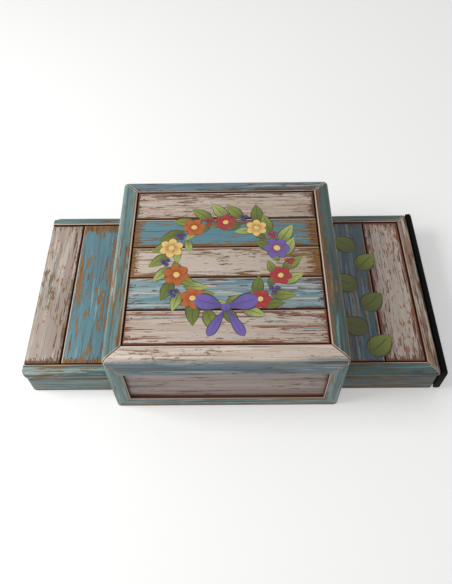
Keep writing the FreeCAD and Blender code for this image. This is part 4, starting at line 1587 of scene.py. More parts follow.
@dataclass
class Lid(Assembly):
    """The lid: four mitred rails round five planks on a backing.

    Attributes:
        half_width, inner: Half the lid's width and the rails' inner line.
        underside, bare_edge: The height of its underside, and how far up from it the rails' edges are bare.
        nail_top, nail_along: The height of the brads in the rails, and how far they are from the middle.
        nail_in: How far in from the rails' middle lines those brads are.
    """

    body: str = "lid"
    half_width: float = TOWER_HALF
    inner: float = 82.5
    underside: float = 71.5
    bare_edge: float = 0.25
    nail_top: float = 80.34
    nail_along: float = 66.0
    nail_in: float = 1.0

    def rail(self, name: str, paint: OldPaint, slot: str, ends: Sequence[tuple[int, int]],
             wear: Wear) -> None:
        """Dresses one rail.

        Args:
            name: Which rail it is.
            paint: Its paint.
            slot: The record's material slot.
            ends: The signs of x and y at its two ends.
            wear: How it has aged, without its mitres and limit.
        """
        mitres = tuple(Mitre((x * self.inner, y * self.inner), (x * DIAGONAL, -y * DIAGONAL))
                       for x, y in ends)
        limit = Limit(Axis.Z, self.underside + self.bare_edge, True)
        self.paint_board(f"lid_{name}_rail", paint, slot, replace(wear, mitres=mitres, limit=limit))

    def rails(self) -> None:
        """The four rails."""
        self.rail("front", LID_FRONT, "whitewash", ((-1, -1), (1, -1)), Wear(
            Plane.TOP, Axis.X, 31.0, Sides(), Sides(high_v=0.4), Sides(high_v=1.2)))
        self.rail("back", BLUE_RAIL, "teal_paint", ((-1, 1), (1, 1)), Wear(
            Plane.TOP, Axis.X, 35.0, Sides(low_v=1.5), Sides(low_v=0.4), Sides(low_v=0.5)))
        self.rail("left", TEAL_RAIL, "teal_paint", ((-1, -1), (-1, 1)), Wear(
            Plane.TOP, Axis.Y, 39.0, Sides(high_u=2.0), Sides(high_u=0.4), Sides(0.7, 1.0)))
        # the right rail takes the teal with painted shade
        self.rail("right", TEAL_SHADED, "teal_paint", ((1, -1), (1, 1)), Wear(
            Plane.TOP, Axis.Y, 43.0, Sides(low_u=4.0), Sides(low_u=0.4), Sides(1.0, 0.7)))

    def planks(self) -> None:
        """The five planks, front to back."""
        # plank 3's cream turns darker tan from x 20 to 80 mm, towards its right end
        darker_to_the_right = SecondCoat(Axis.X, 20.0, 80.0, Shade.CREAM_TAN)
        looks = ((CREAM_RUSTY, "whitewash", Sides(0.8, 1.2, 1.2, 0.6), None),
                 (BLUE_STREAKY, "blue_paint", Sides(0.6, 1.0, 0.8, 0.5), None),
                 (CREAM_OCHRE, "whitewash", Sides(4.5, 7.5, 1.4, 1.6), darker_to_the_right),
                 (BLUE_CLEAR, "blue_paint", Sides(5.0, 11.0, 2.2, 2.0), None),
                 (CREAM_BROWN, "whitewash", Sides(1.6, 2.0, 1.6, 1.0), None))
        for number, (paint, slot, reach, second) in enumerate(looks, 1):
            wear = Wear(Plane.TOP, Axis.X, 50.0 + 7.3 * number, reach, PLANK_RIM, Sides(high_v=0.7),
                        second=second)
            self.paint_board(f"lid_plank_{number}", paint, slot, wear, 0.3)

    def nails(self) -> list[Point]:
        """Finds where its brads are: two at each end of each plank, and one near each end of each rail.

        Returns:
            The centres of the heads.
        """
        places = [spot for number in range(1, 6)
                  for spot in Box.of(f"lid_plank_{number}").nail_spots(5.0, 7.0)]
        middle = (self.half_width + self.inner) / 2 - self.nail_in
        for along in (-self.nail_along, self.nail_along):
            for side in (-middle, middle):
                places += [(along, side, self.nail_top), (side, along, self.nail_top)]
        return places

    def build(self) -> None:
        """Dresses the lid."""
        self.rails()
        self.planks()
        self.keep(BackingWood(self.underside).dress("lid_backing_wood"), "lid_backing")


class Side(Enum):
    """The side of the tower that a wing is on."""

    LEFT = "left"
    RIGHT = "right"


@dataclass
class Wing(Assembly):
    """A low wing beside the tower, with planks on a deck and rails round it.

    Attributes:
        side: The side that it is on.
        front_line, back_line: The inner lines of the front and back rails.
        end_line: The inner line of the right wing's end rail.
        underside, bare_edge: The height of its deck's underside, and how far up the rails' edges are bare.
    """

    side: Side
    body: str = "case"
    front_line: float = -72.3
    back_line: float = 86.5
    end_line: float = 171.8
    underside: float = 23.0
    bare_edge: float = 0.2

    def name(self, part: str) -> str:
        """A node's name on this wing."""
        return f"{self.side.value}_wing_{part}"

    def mitres(self, line: float, sign: int) -> tuple[Mitre, ...]:
        """The mitre at the end rail, on the right only."""
        return () if self.side is Side.LEFT else (Mitre((self.end_line, line), (DIAGONAL, sign * DIAGONAL)),)

    def rails(self, teal: OldPaint) -> None:
        """The rails on the top, and the end rail on the right.

        Args:
            teal: The paint of the front and back rails.
        """
        limit = Limit(Axis.Z, self.underside + self.bare_edge, True)
        front, back = self.mitres(self.front_line, 1), self.mitres(self.back_line, -1)
        self.paint_board(self.name("front_rail"), teal, "teal_paint", Wear(
            Plane.TOP, Axis.X, 81.0, Sides(high_v=1.4), Sides(high_v=0.4), Sides(high_v=0.6), front, limit))
        self.paint_board(self.name("back_rail"), teal, "teal_paint", Wear(
            Plane.TOP, Axis.X, 85.0, Sides(low_v=1.2), Sides(low_v=0.4), Sides(low_v=0.9), back, limit))
        if self.side is Side.RIGHT:
            # the end rail takes the cream with painted shade
            self.paint_board(self.name("end_rail"), CREAM_SHADED, "whitewash", Wear(
                Plane.TOP, Axis.Y, 89.0, Sides(0.8, 0.8), Sides(low_u=0.4), Sides(low_u=0.7),
                front + back, limit))

    def planks(self) -> None:
        """The two planks."""
        outer, inner = self.name("outer_plank"), self.name("inner_plank")
        if self.side is Side.LEFT:
            self.paint_board(outer, CREAM_TEAL, "whitewash", Wear(
                Plane.TOP, Axis.Y, 91.0, Sides(0.0, 0.8, 3.5, 1.5), PLANK_RIM._replace(low_u=0.0),
                scatter=11.0), 0.8)
            self.paint_board(inner, BLUE_CLEAR, "blue_paint", Wear(
                Plane.TOP, Axis.Y, 94.0, Sides(1.2, 4.0, 4.0, 10.0), PLANK_RIM, Sides(low_u=0.8)), 0.3)
        else:
            # the right inner plank takes the blue with painted shade
            self.paint_board(inner, BLUE_SHADED, "blue_paint", Wear(
                Plane.TOP, Axis.Y, 97.0, Sides(0.0, 0.8, 1.0, 1.5), PLANK_RIM, Sides(high_u=0.6)), 0.3)
            self.paint_board(outer, CREAM_CRACKED, "whitewash", Wear(
                Plane.TOP, Axis.Y, 101.0, Sides(1.2, 1.6, 2.0, 2.0), PLANK_RIM, scatter=9.0), 0.3)

    def build(self) -> None:
        """Dresses the rails, the planks, the walls and the wood inside."""
        left = self.side is Side.LEFT
        # the right wing takes the teal with painted shade for the tower's shadow
        teal = TEAL_RAIL if left else TEAL_IN_PAINTED_SHADE
        self.rails(teal)
        self.planks()
        # the right wing's end takes the cream with painted shade
        end, end_slot = (TEAL_RAIL, "teal_paint") if left else (CREAM_SHADED, "whitewash")
        for part, paint, slot, plane, grain, shift in (
                ("front", teal, "teal_paint", Plane.FRONT, Axis.X, 105.0),
                ("back", teal, "teal_paint", Plane.FRONT, Axis.X, 109.0),
                ("end", end, end_slot, Plane.SIDE, Axis.Y, 113.0)):
            wear = Wear(plane, grain, shift, Sides(low_v=1.5, high_v=0.5))
            self.paint_board(self.name(part), paint, slot, wear, 0.2)
        self.keep(BareWood(Axis.Y, 4.0).dress(self.name("wood")), self.name("floor"), self.name("ledger"))
        self.keep(BackingWood(self.underside).dress(self.name("deck_wood")), self.name("deck"))


@dataclass
class Release(Assembly):
    """The black pull bar, its bolt and its guide dowels."""

    body: str = "release"
    bar_ease: float = 0.6

    def build(self) -> None:
        """Dresses the release."""
        self.show(eased_copy("release_bar", self.bar_ease), SatinBlack().dress("bar_black"), "black_bar",
                  "release_bar")
        self.keep(BareWood(Axis.X, 9.0).dress("rod_wood"), "release_rod", "release_dowels")


@dataclass
class NailHeads(Assembly):
    """Small sunk brads that hold the planks and rails.

    Attributes:
        label: The piece's name.
        places: The centre of each head.
        radius, rise: A head's radius, and its height over its centre.
    """

    body: str
    label: str
    places: list[Point]
    radius: float = 0.7
    rise: float = 0.16

    def build(self) -> None:
        """Makes the heads as one piece: a low dome on each point."""
        tree = PatternTree("brads")
        radius, rise = tree.inputs(Kind.NUMBER, "Radius", "Rise")
        tree.close(tree.copies(tree.source, tree.ball(12, 6, 1.0), Scale=tree.vector(radius, radius, rise)))
        iron = Metal(Shade.IRON, Shade.GAP_BROWN, 0.45).dress(f"{self.label}_iron")
        self.carry(tree.settle(self.label, iron, {"Radius": self.radius * MM, "Rise": self.rise * MM},
                               points_object(self.places)), "steel")


class ScrewTree(PatternTree):
    """A slotted head on a shank at each point."""

    def __init__(self) -> None:
        """Writes the tree with its named inputs."""
        super().__init__("slotted_screws")
        head_radius, head_depth, shank_radius, shank_length, slot_width, turn = self.inputs(
            Kind.NUMBER, "Head Radius", "Head Depth", "Shank Radius", "Shank Length", "Slot Width", "Turn")
        seed, = self.inputs(Kind.COUNT, "Seed")
        head = self.moved(self.rod(24, head_radius, head_depth), self.vector(z=head_depth * -0.5))
        cutter = self.vector(head_radius * 3.0, slot_width, head_depth)
        slot = self.add("GeometryNodeMeshCube", {"Size": cutter})
        slotted = self.add("GeometryNodeMeshBoolean", {0: head, 1: slot}, operation="DIFFERENCE",
                           solver="EXACT")
        shank = self.moved(self.rod(12, shank_radius, shank_length),
                           self.vector(z=shank_length * -0.5 - head_depth))
        screw = self.add("GeometryNodeJoinGeometry")
        for part in (shank, slotted):
            self.feed(screw.socket.node.inputs[0], part)
        angle = self.random(0.0, math.pi, seed)
        self.close(self.copies(self.source, screw, Rotation=self.turned(turn, angle)))


@dataclass
class ScrewHeads(Assembly):
    """Slotted screws of one kind, whose slots lie at any angle.

    Attributes:
        label, node: The piece's name, and the CAD node that it stands for.
        places: The outer face of each head.
        points_up: True where the screws go up into the wood.
        head_radius, head_depth: A head's radius and thickness.
        shank_radius, shank_length: A shank's radius, and its length below its head.
        slot_width: The width of the driver's slot.
        seed: The seed of the slots' angles.
    """

    body: str
    label: str
    node: str
    places: list[Point]
    points_up: bool
    head_radius: float = 1.8
    head_depth: float = 0.7
    shank_radius: float = 0.9
    shank_length: float = 4.3
    slot_width: float = 0.45
    seed: int = 7

    def build(self) -> None:
        """Makes the screws as one piece."""
        values = {"Head Radius": self.head_radius * MM, "Head Depth": self.head_depth * MM,
                  "Shank Radius": self.shank_radius * MM, "Shank Length": self.shank_length * MM,
                  "Slot Width": self.slot_width * MM, "Turn": math.pi if self.points_up else 0.0,
                  "Seed": self.seed}
        brass = Metal(Shade.BRASS, Shade.BRASS_DARK, 0.3).dress(f"{self.label}_brass")
        screws = ScrewTree().settle(self.label, brass, values, points_object(self.places))
        self.carry(screws, "brass", self.node)


@dataclass
class Ironmongery(Assembly):
    """Hinges, their screws and the strap under the lid.

    Attributes:
        screw_x, screw_y: The screws' distances from the middle, and their line along the back.
        case_face, lid_face: The heights of the leaves' faces.
        strap_screws: The two screws in the strap's foot.
    """

    body: str = "case"
    screw_x: tuple[float, float] = (51.0, 69.0)
    screw_y: float = 93.0
    case_face: float = 71.1
    lid_face: float = 71.5
    strap_screws: tuple[Point, Point] = ((72.0, -40.8, 69.5), (78.0, -40.8, 69.5))

    def build(self) -> None:
        """Dresses the metal pieces."""
        leaves = [f"hinge_{side.value}_{leaf}_leaf" for side in Side for leaf in ("case", "lid")]
        self.keep(Metal(Shade.BRASS, Shade.BRASS_DARK).dress("hinge_brass"), *leaves)
        self.keep(Metal(Shade.STEEL, Shade.IRON).dress("plain_steel"), "hinge_pins", "lid_strap")
        spots = [sign * x for sign in (-1, 1) for x in self.screw_x]
        ScrewHeads("case", "case_screw_heads", "case_screws",
                   [(x, self.screw_y, self.case_face) for x in spots], False).build()
        ScrewHeads("lid", "lid_screw_heads", "lid_screws",
                   [*((x, self.screw_y, self.lid_face) for x in spots), *self.strap_screws], True).build()


MOTIF_LAYERS = ("across", "along", "heart")
MOTIF_SHARP = math.radians(60.0)


@dataclass(frozen=True)
class Lens:
    """A thin leaf or petal with a low crown, lying flat with its foot at the origin and its tip along +Y.

    Attributes:
        length, width, crown: From foot to tip, at its widest, and the height of its middle.
        belly: Above 1 the widest place moves to the tip, below 1 to the foot.
        point: Above 1 the ends are pointed, below 1 they are round.
        rows, columns: The number of steps along it and across it.
    """

    length: float
    width: float
    crown: float
    belly: float = 1.0
    point: float = 1.0
    rows: int = 12
    columns: int = 8

    def add_to(self, shape: Shape, turn: float = 0.0, foot: float = 0.0, heart: float = 0.0) -> Shape:
        """Adds the closed shape to a bmesh that has the layers across, along and heart.

        Args:
            shape: The bmesh.
            turn: How far it is turned about the upright axis.
            foot: How far its foot is moved out along its own length.
            heart: The value of its heart layer.

        Returns:
            The bmesh.
        """
        layers = [shape.verts.layers.float[name] for name in MOTIF_LAYERS]
        place = Matrix.Rotation(turn, 4, "Z") @ Matrix.Translation((0.0, foot * MM, 0.0))
        grid: dict[tuple[int, int, int], bmesh.types.BMVert] = {}
        for row in range(self.rows + 1):
            u = row / self.rows
            half = self.width / 2 * max(math.sin(math.pi * u ** self.belly), 0.0) ** self.point
            for column in range(self.columns + 1):
                v = 2 * column / self.columns - 1
                rise = self.crown * (1 - v * v) * min(1.0, 4.0 * u * (1 - u) * 1.6)
                end = row in (0, self.rows)
                for side, height in ((0, 0.0), (1, rise)):
                    if side and (end or column in (0, self.columns)):
                        grid[row, column, 1] = grid[row, column, 0]
                        continue
                    vert = shape.verts.new(place @ (Vector((half * v, self.length * u, height)) * MM))
                    for layer, value in zip(layers, (1.0 if end else abs(v), u, heart)):
                        vert[layer] = value
                    grid[row, column, side] = vert
        for row in range(self.rows):
            for column in range(self.columns):
                corners = ((row, column), (row, column + 1), (row + 1, column + 1), (row + 1, column))
                for side in (0, 1):
                    ring = [grid[r, c, side] for r, c in corners]
                    shape.faces.new(ring if side else ring[::-1])
        return shape


def motif_shape() -> Shape:
    """Starts a motif.

    Returns:
        An empty bmesh with the layers that the motif paints read.
    """
    shape = bmesh.new()
    for name in MOTIF_LAYERS:
        shape.verts.layers.float.new(name)
    return shape


def motif_object(name: str, shape: Shape) -> Object:
    """Makes a motif an object, with the doubled ends of its shapes merged.

    Args:
        name: The object's name.
        shape: The motif's bmesh, which is freed.

    Returns:
        The object.
    """
    bmesh.ops.remove_doubles(shape, verts=shape.verts, dist=MERGE_DISTANCE)
    bmesh.ops.dissolve_degenerate(shape, edges=shape.edges, dist=MERGE_DISTANCE)
    bmesh.ops.recalc_face_normals(shape, faces=shape.faces)
    return object_from(name, shape, MOTIF_SHARP)


class RingTree(PatternTree):
    """Copies of a flat shape along an arc, each a little different."""

    def __init__(self) -> None:
        """Writes the tree with its named inputs."""
        super().__init__("copies_on_an_arc")
        count, seed = self.inputs(Kind.COUNT, "Count", "Seed")
        radius, scatter, turn, swing, small, start, step = self.inputs(
            Kind.NUMBER, "Radius", "Scatter", "Turn", "Swing", "Smallest", "Start", "Step")
        centre, = self.inputs(Kind.PLACE, "Centre")
        angle = start + self.index() * step
        out = radius + self.random(scatter * -1.0, scatter, seed)
        arc = self.row(count, self.vector(self.maths("COSINE", angle) * out, self.maths("SINE", angle) * out))
        heading = angle + turn + self.random(swing * -1.0, swing, seed + 1.0)
        copies = self.copies(arc, self.source, Rotation=self.turned(0.0, heading),
                             Scale=self.random(small, 1.0, seed + 2.0))
        self.close(self.moved(self.tinted(copies, seed + 3.0), centre))


@dataclass
class Garland(Assembly):
    """A painted harvest wreath on the lid: leaves, flowers, berries and a bow.

    Attributes:
        top: The height of the planks that it lies on.
        radius: The wreath's radius.
    """

    body: str = "lid"
    top: float = 80.0
    radius: float = 47.0

    def ring(self, label: str, shape: Shape, paint: MotifPaint, lift: float,
             values: dict[str, float]) -> None:
        """Makes one ring of copies.

        Args:
            label: The piece's name.
            shape: One copy, lying flat at the origin.
            paint: The copies' paint.
            lift: The height of the copies over the planks.
            values: The ring's inputs by name.
        """
        settings = {key: value * MM if key in ("Radius", "Scatter") else value
                    for key, value in values.items()}
        settings["Centre"] = (0.0, 0.0, (self.top + lift) * MM)
        material = paint.dress(f"{label}_paint")
        self.carry(RingTree().settle(label, material, settings, motif_object(label, shape)))

    def leaf(self, length: float, width: float) -> Shape:
        """One leaf's shape."""
        return Lens(length, width, 0.14, 0.85, 0.95).add_to(motif_shape())

    def flower(self, petals: int, reach: float, heart: float) -> Shape:
        """One open flower.

        Args:
            petals: The number of petals.
            reach: A petal's length.
            heart: The heart's radius.

        Returns:
            The flower's shape.
        """
        shape = motif_shape()
        for number in range(petals):
            Lens(reach, reach * 0.82, 0.12, 1.35, 0.7, 8, 6).add_to(shape, number * math.tau / petals, 0.6)
        Lens(heart * 2, heart * 2, 0.2, 1.0, 0.5, 8, 8).add_to(shape, 0.0, -heart, 1.0)
        return shape

    def berries(self, count: int, radius: float) -> Shape:
        """Makes one cluster of berries.

        Args:
            count: The number of berries.
            radius: A berry's radius.

        Returns:
            Its shape.
        """
        shape = motif_shape()
        berry = Lens(radius * 2, radius * 2, 0.22, 1.0, 0.5, 8, 8)
        for number in range(count):
            berry.add_to(shape, number * math.tau / count, radius * 0.2)
        return shape

    def bow(self) -> None:
        """The bow at the foot of the wreath."""
        shape = motif_shape()
        for sign in (-1, 1):
            Lens(27.0, 17.0, 0.12, 1.5, 0.65).add_to(shape, sign * math.radians(72.0), 1.5)
            Lens(30.0, 9.0, 0.10, 1.9, 0.55).add_to(shape, sign * math.radians(152.0), 1.0)
        Lens(9.0, 9.0, 0.22, 1.0, 0.5, 8, 8).add_to(shape, 0.0, -4.5)
        bow = motif_object("lid_bow", shape)
        bow.data.transform(Matrix.Translation(Vector((0.0, -self.radius, self.top + 0.2)) * MM))
        self.show(bow, RIBBON.dress("lid_bow_paint"))

    def build(self) -> None:
        """Makes the wreath from the planks up."""
        down, tenth = -math.pi / 2, math.tau / 10
        self.ring("lid_outer_leaves", self.leaf(27.0, 13.0), GREEN_LEAVES, 0.02, {
            "Count": 22, "Radius": self.radius + 2.0, "Scatter": 2.0, "Turn": down + 0.9, "Swing": 0.35,
            "Smallest": 0.75, "Start": 0.1, "Step": math.tau / 22, "Seed": 3})
        self.ring("lid_inner_leaves", self.leaf(22.0, 10.5), GREEN_LEAVES, 0.05, {
            "Count": 20, "Radius": self.radius - 3.0, "Scatter": 2.0, "Turn": -down - 1.0, "Swing": 0.35,
            "Smallest": 0.7, "Start": 0.3, "Step": math.tau / 20, "Seed": 11})
        self.ring("lid_flowers", self.flower(6, 11.5, 3.6), HARVEST_PETALS, 0.12, {
            "Count": 9, "Radius": self.radius, "Scatter": 3.0, "Turn": 0.0, "Swing": 0.5,
            "Smallest": 0.82, "Start": down + tenth, "Step": tenth, "Seed": 25})
        self.ring("lid_berries", self.berries(3, 2.5), BERRY_SKINS, 0.2, {
            "Count": 8, "Radius": self.radius + 5.0, "Scatter": 4.0, "Turn": 0.0, "Swing": 1.0,
            "Smallest": 0.8, "Start": down + math.tau * 0.15, "Step": tenth, "Seed": 42})
        self.bow()


class SwayTree(PatternTree):
    """Points along a stem that sways from side to side, for what grows on it."""

    def __init__(self, name: str) -> None:
        """Writes the stem's points with their named inputs.

        Args:
            name: The tree's name.
        """
        super().__init__(name)
        count, = self.inputs(Kind.COUNT, "Count")
        start, step = self.inputs(Kind.PLACE, "Start", "Step")
        sway, waves = self.inputs(Kind.NUMBER, "Sway", "Waves")
        self.number = self.index()
        line = self.add("GeometryNodeMeshLine", {"Count": count, "Start Location": start, "Offset": step})
        side = self.maths("SINE", self.number / count * (waves * math.tau)) * sway
        self.points = self.add("GeometryNodeSetPosition", {"Geometry": line, "Offset": self.vector(side)})


class VineTree(SwayTree):
    """Leaves left and right along a swaying stem."""

    def __init__(self) -> None:
        """Writes the tree with its named inputs."""
        super().__init__("leaves_on_a_stem")
        fan, loose, small = self.inputs(Kind.NUMBER, "Fan", "Loose", "Smallest")
        seed, = self.inputs(Kind.COUNT, "Seed")
        parity = self.maths("MODULO", self.number, 2.0) * 2.0 - 1.0
        heading = parity * fan + self.random(loose * -1.0, loose, seed)
        leaves = self.copies(self.points, self.source, Rotation=self.turned(0.0, heading),
                             Scale=self.random(small, 1.0, seed + 1.0))
        self.close(self.tinted(leaves, seed + 2.0))


class StemTree(SwayTree):
    """The stem that the leaves grow from."""

    def __init__(self) -> None:
        """Writes the tree with its named inputs."""
        super().__init__("swaying_stem")
        thick, = self.inputs(Kind.NUMBER, "Thickness")
        self.close(self.tube(self.add("GeometryNodeMeshToCurve", {"Mesh": self.points}), 8, thick))


@dataclass
class Sprig(Assembly):
    """A painted trailing sprig along the right wing's inner plank.

    Attributes:
        top, middle: The height of the plank and the stem's line across the wing.
        front, back: Where the stem starts and ends.
        sway, waves: How far the stem swings to each side, and the number of swings.
        leaves, stem_steps: The number of leaves, and of steps in the stem for each leaf.
        leaf: One leaf.
    """

    body: str = "case"
    top: float = 30.6
    middle: float = 124.0
    front: float = -64.0
    back: float = 74.0
    sway: float = 2.0
    waves: float = 1.5
    leaves: int = 6
    stem_steps: int = 8
    leaf: Lens = Lens(29.0, 23.0, 0.2, 0.8, 0.75)

    def stem(self, count: int, lift: float) -> dict[str, Any]:
        """The inputs of the stem's points.

        Args:
            count: The number of points.
            lift: Their height over the plank.

        Returns:
            The inputs by name.
        """
        return {"Count": count, "Start": (self.middle * MM, self.front * MM, (self.top + lift) * MM),
                "Step": (0.0, (self.back - self.front) / count * MM, 0.0), "Sway": self.sway * MM,
                "Waves": self.waves}

    def build(self) -> None:
        """Makes the leaves and their stem."""
        values = {**self.stem(self.leaves, 0.05), "Fan": 0.85, "Loose": 0.25, "Smallest": 0.85, "Seed": 5}
        leaf = motif_object("wing_leaves", self.leaf.add_to(motif_shape()))
        self.carry(VineTree().settle("wing_leaves", OLIVE_LEAVES.dress("wing_leaf_paint"), values, leaf))
        values = {**self.stem(self.leaves * self.stem_steps, -0.02), "Thickness": 0.28 * MM}
        brown = BareWood(Axis.Y, 3.0, Shade.UMBER, Shade.INK).dress("wing_stem_paint")
        self.carry(StemTree().settle("wing_stem", brown, values))


def turns(steps: int) -> list[tuple[float, float]]:
    """The cosine and sine of each even step round a turn."""
    return [(math.cos(math.tau * step / steps), math.sin(math.tau * step / steps)) for step in range(steps)]


def bridge(shape: Shape, rings: Sequence[Sequence[bmesh.types.BMVert]], sides: int) -> None:
    """Adds the faces between rings that follow each other, where a ring of one point is a tip.

    Args:
        shape: The bmesh.
        rings: The rings' points.
        sides: The number of points in a whole ring.
    """
    for ring, following in zip(rings, rings[1:]):
        for side in range(sides):
            other = (side + 1) % sides
            low = (ring[0],) if len(ring) == 1 else (ring[side], ring[other])
            high = (following[0],) if len(following) == 1 else (following[other], following[side])
            shape.faces.new(low + high)


def tube_rings(shape: Shape, path: Sequence[Vector], radii: Sequence[float], sides: int) -> None:
    """Adds a closed tube along a path.

    Args:
        shape: The bmesh.
        path: The middle line, in metres.
        radii: The tube's radius at each point.
        sides: The number of sides.
    """
    rings = []
    across = (path[1] - path[0]).normalized().orthogonal()
    for number, (place, radius) in enumerate(zip(path, radii)):
        ahead = (path[min(number + 1, len(path) - 1)] - path[max(number - 1, 0)]).normalized()
        across = (across - ahead * across.dot(ahead)).normalized()
        up = ahead.cross(across)
        rings.append([shape.verts.new(place + (across * cosine + up * sine) * radius)
                      for cosine, sine in turns(sides)])
    bridge(shape, rings, sides)
    shape.faces.new(rings[0][::-1])
    shape.faces.new(rings[-1])


def lathe(shape: Shape, profile: Sequence[tuple[float, float]], steps: int = 64) -> None:
    """Turns a profile round the upright axis.

    Args:
        shape: The bmesh.
        profile: Radius and height of each point, from the axis and back to it.
        steps: The number of steps in a turn.
    """
    rings = []
    for radius, height in profile:
        around = turns(steps) if radius > 0.0 else [(0.0, 0.0)]
        rings.append([shape.verts.new((radius * MM * cosine, radius * MM * sine, height * MM))
                      for cosine, sine in around])
    bridge(shape, rings, steps)


def ball_at(shape: Shape, centre: Vector, size: Point, ahead: Vector, segments: int = 24) -> None:
    """Adds a ball that is squashed along a direction.

    Args:
        shape: The bmesh.
        centre: Its centre, in metres.
        size: Its three radii: two across the direction and one along it.
        ahead: The direction.
        segments: The number of steps round it.
    """
    turn = ahead.to_track_quat("Z", "Y").to_matrix().to_4x4()
    place = Matrix.Translation(centre) @ turn @ Matrix.Diagonal((*(length * MM for length in size), 1.0))
    bmesh.ops.create_uvsphere(shape, u_segments=segments, v_segments=segments // 2, radius=1.0, matrix=place)


def closed_object(name: str, shape: Shape) -> Object:
    """Turns a closed shape's faces outwards and makes it an object."""
    bmesh.ops.recalc_face_normals(shape, faces=shape.faces)
    return object_from(name, shape)


class SpringTree(PatternTree):
    """A tapering coil of round wire, which carries its share along the wire."""

    def __init__(self) -> None:
        """Writes the tree with its named inputs."""
        super().__init__("tapering_coil")
        rounds, base, top, rise, wire = self.inputs(
            Kind.NUMBER, "Turns", "Base Radius", "Top Radius", "Rise", "Wire Radius")
        seat, = self.inputs(Kind.PLACE, "Seat")
        coil = self.add("GeometryNodeCurveSpiral", {
            "Resolution": 72, "Rotations": rounds, "Start Radius": base, "End Radius": top, "Height": rise})
        share = self.add("GeometryNodeSplineParameter", out="Factor")
        marked = self.marked(coil, "share", share, "POINT")
        self.close(self.moved(self.tube(marked, 12, wire), seat))


class BeadTree(PatternTree):
    """Beads round a ring."""

    def __init__(self) -> None:
        """Writes the tree with its named inputs."""
        super().__init__("ring_of_beads")
        count, = self.inputs(Kind.COUNT, "Count")
        radius, size = self.inputs(Kind.NUMBER, "Radius", "Bead Radius")
        centre, = self.inputs(Kind.PLACE, "Centre")
        ring = self.add("GeometryNodeMeshCircle", {"Vertices": count, "Radius": radius})
        self.close(self.moved(self.copies(ring, self.ball(12, 8, size)), centre))


class StitchTree(PatternTree):
    """Short stitches along an arc over the cap."""

    def __init__(self) -> None:
        """Writes the tree with its named inputs."""
        super().__init__("row_of_stitches")
        count, = self.inputs(Kind.COUNT, "Count")
        radius, first, last, length, thick = self.inputs(
            Kind.NUMBER, "Radius", "First Angle", "Last Angle", "Length", "Thickness")
        centre, = self.inputs(Kind.PLACE, "Centre")
        angle = first + self.index() / (count - 1.0) * (last - first)
        place = self.vector(0.0, self.maths("COSINE", angle) * radius, self.maths("SINE", angle) * radius)
        size = self.vector(length, thick, thick)
        stitches = self.copies(self.row(count, place), self.ball(8, 6, 1.0), Scale=size)
        self.close(self.moved(stitches, centre))


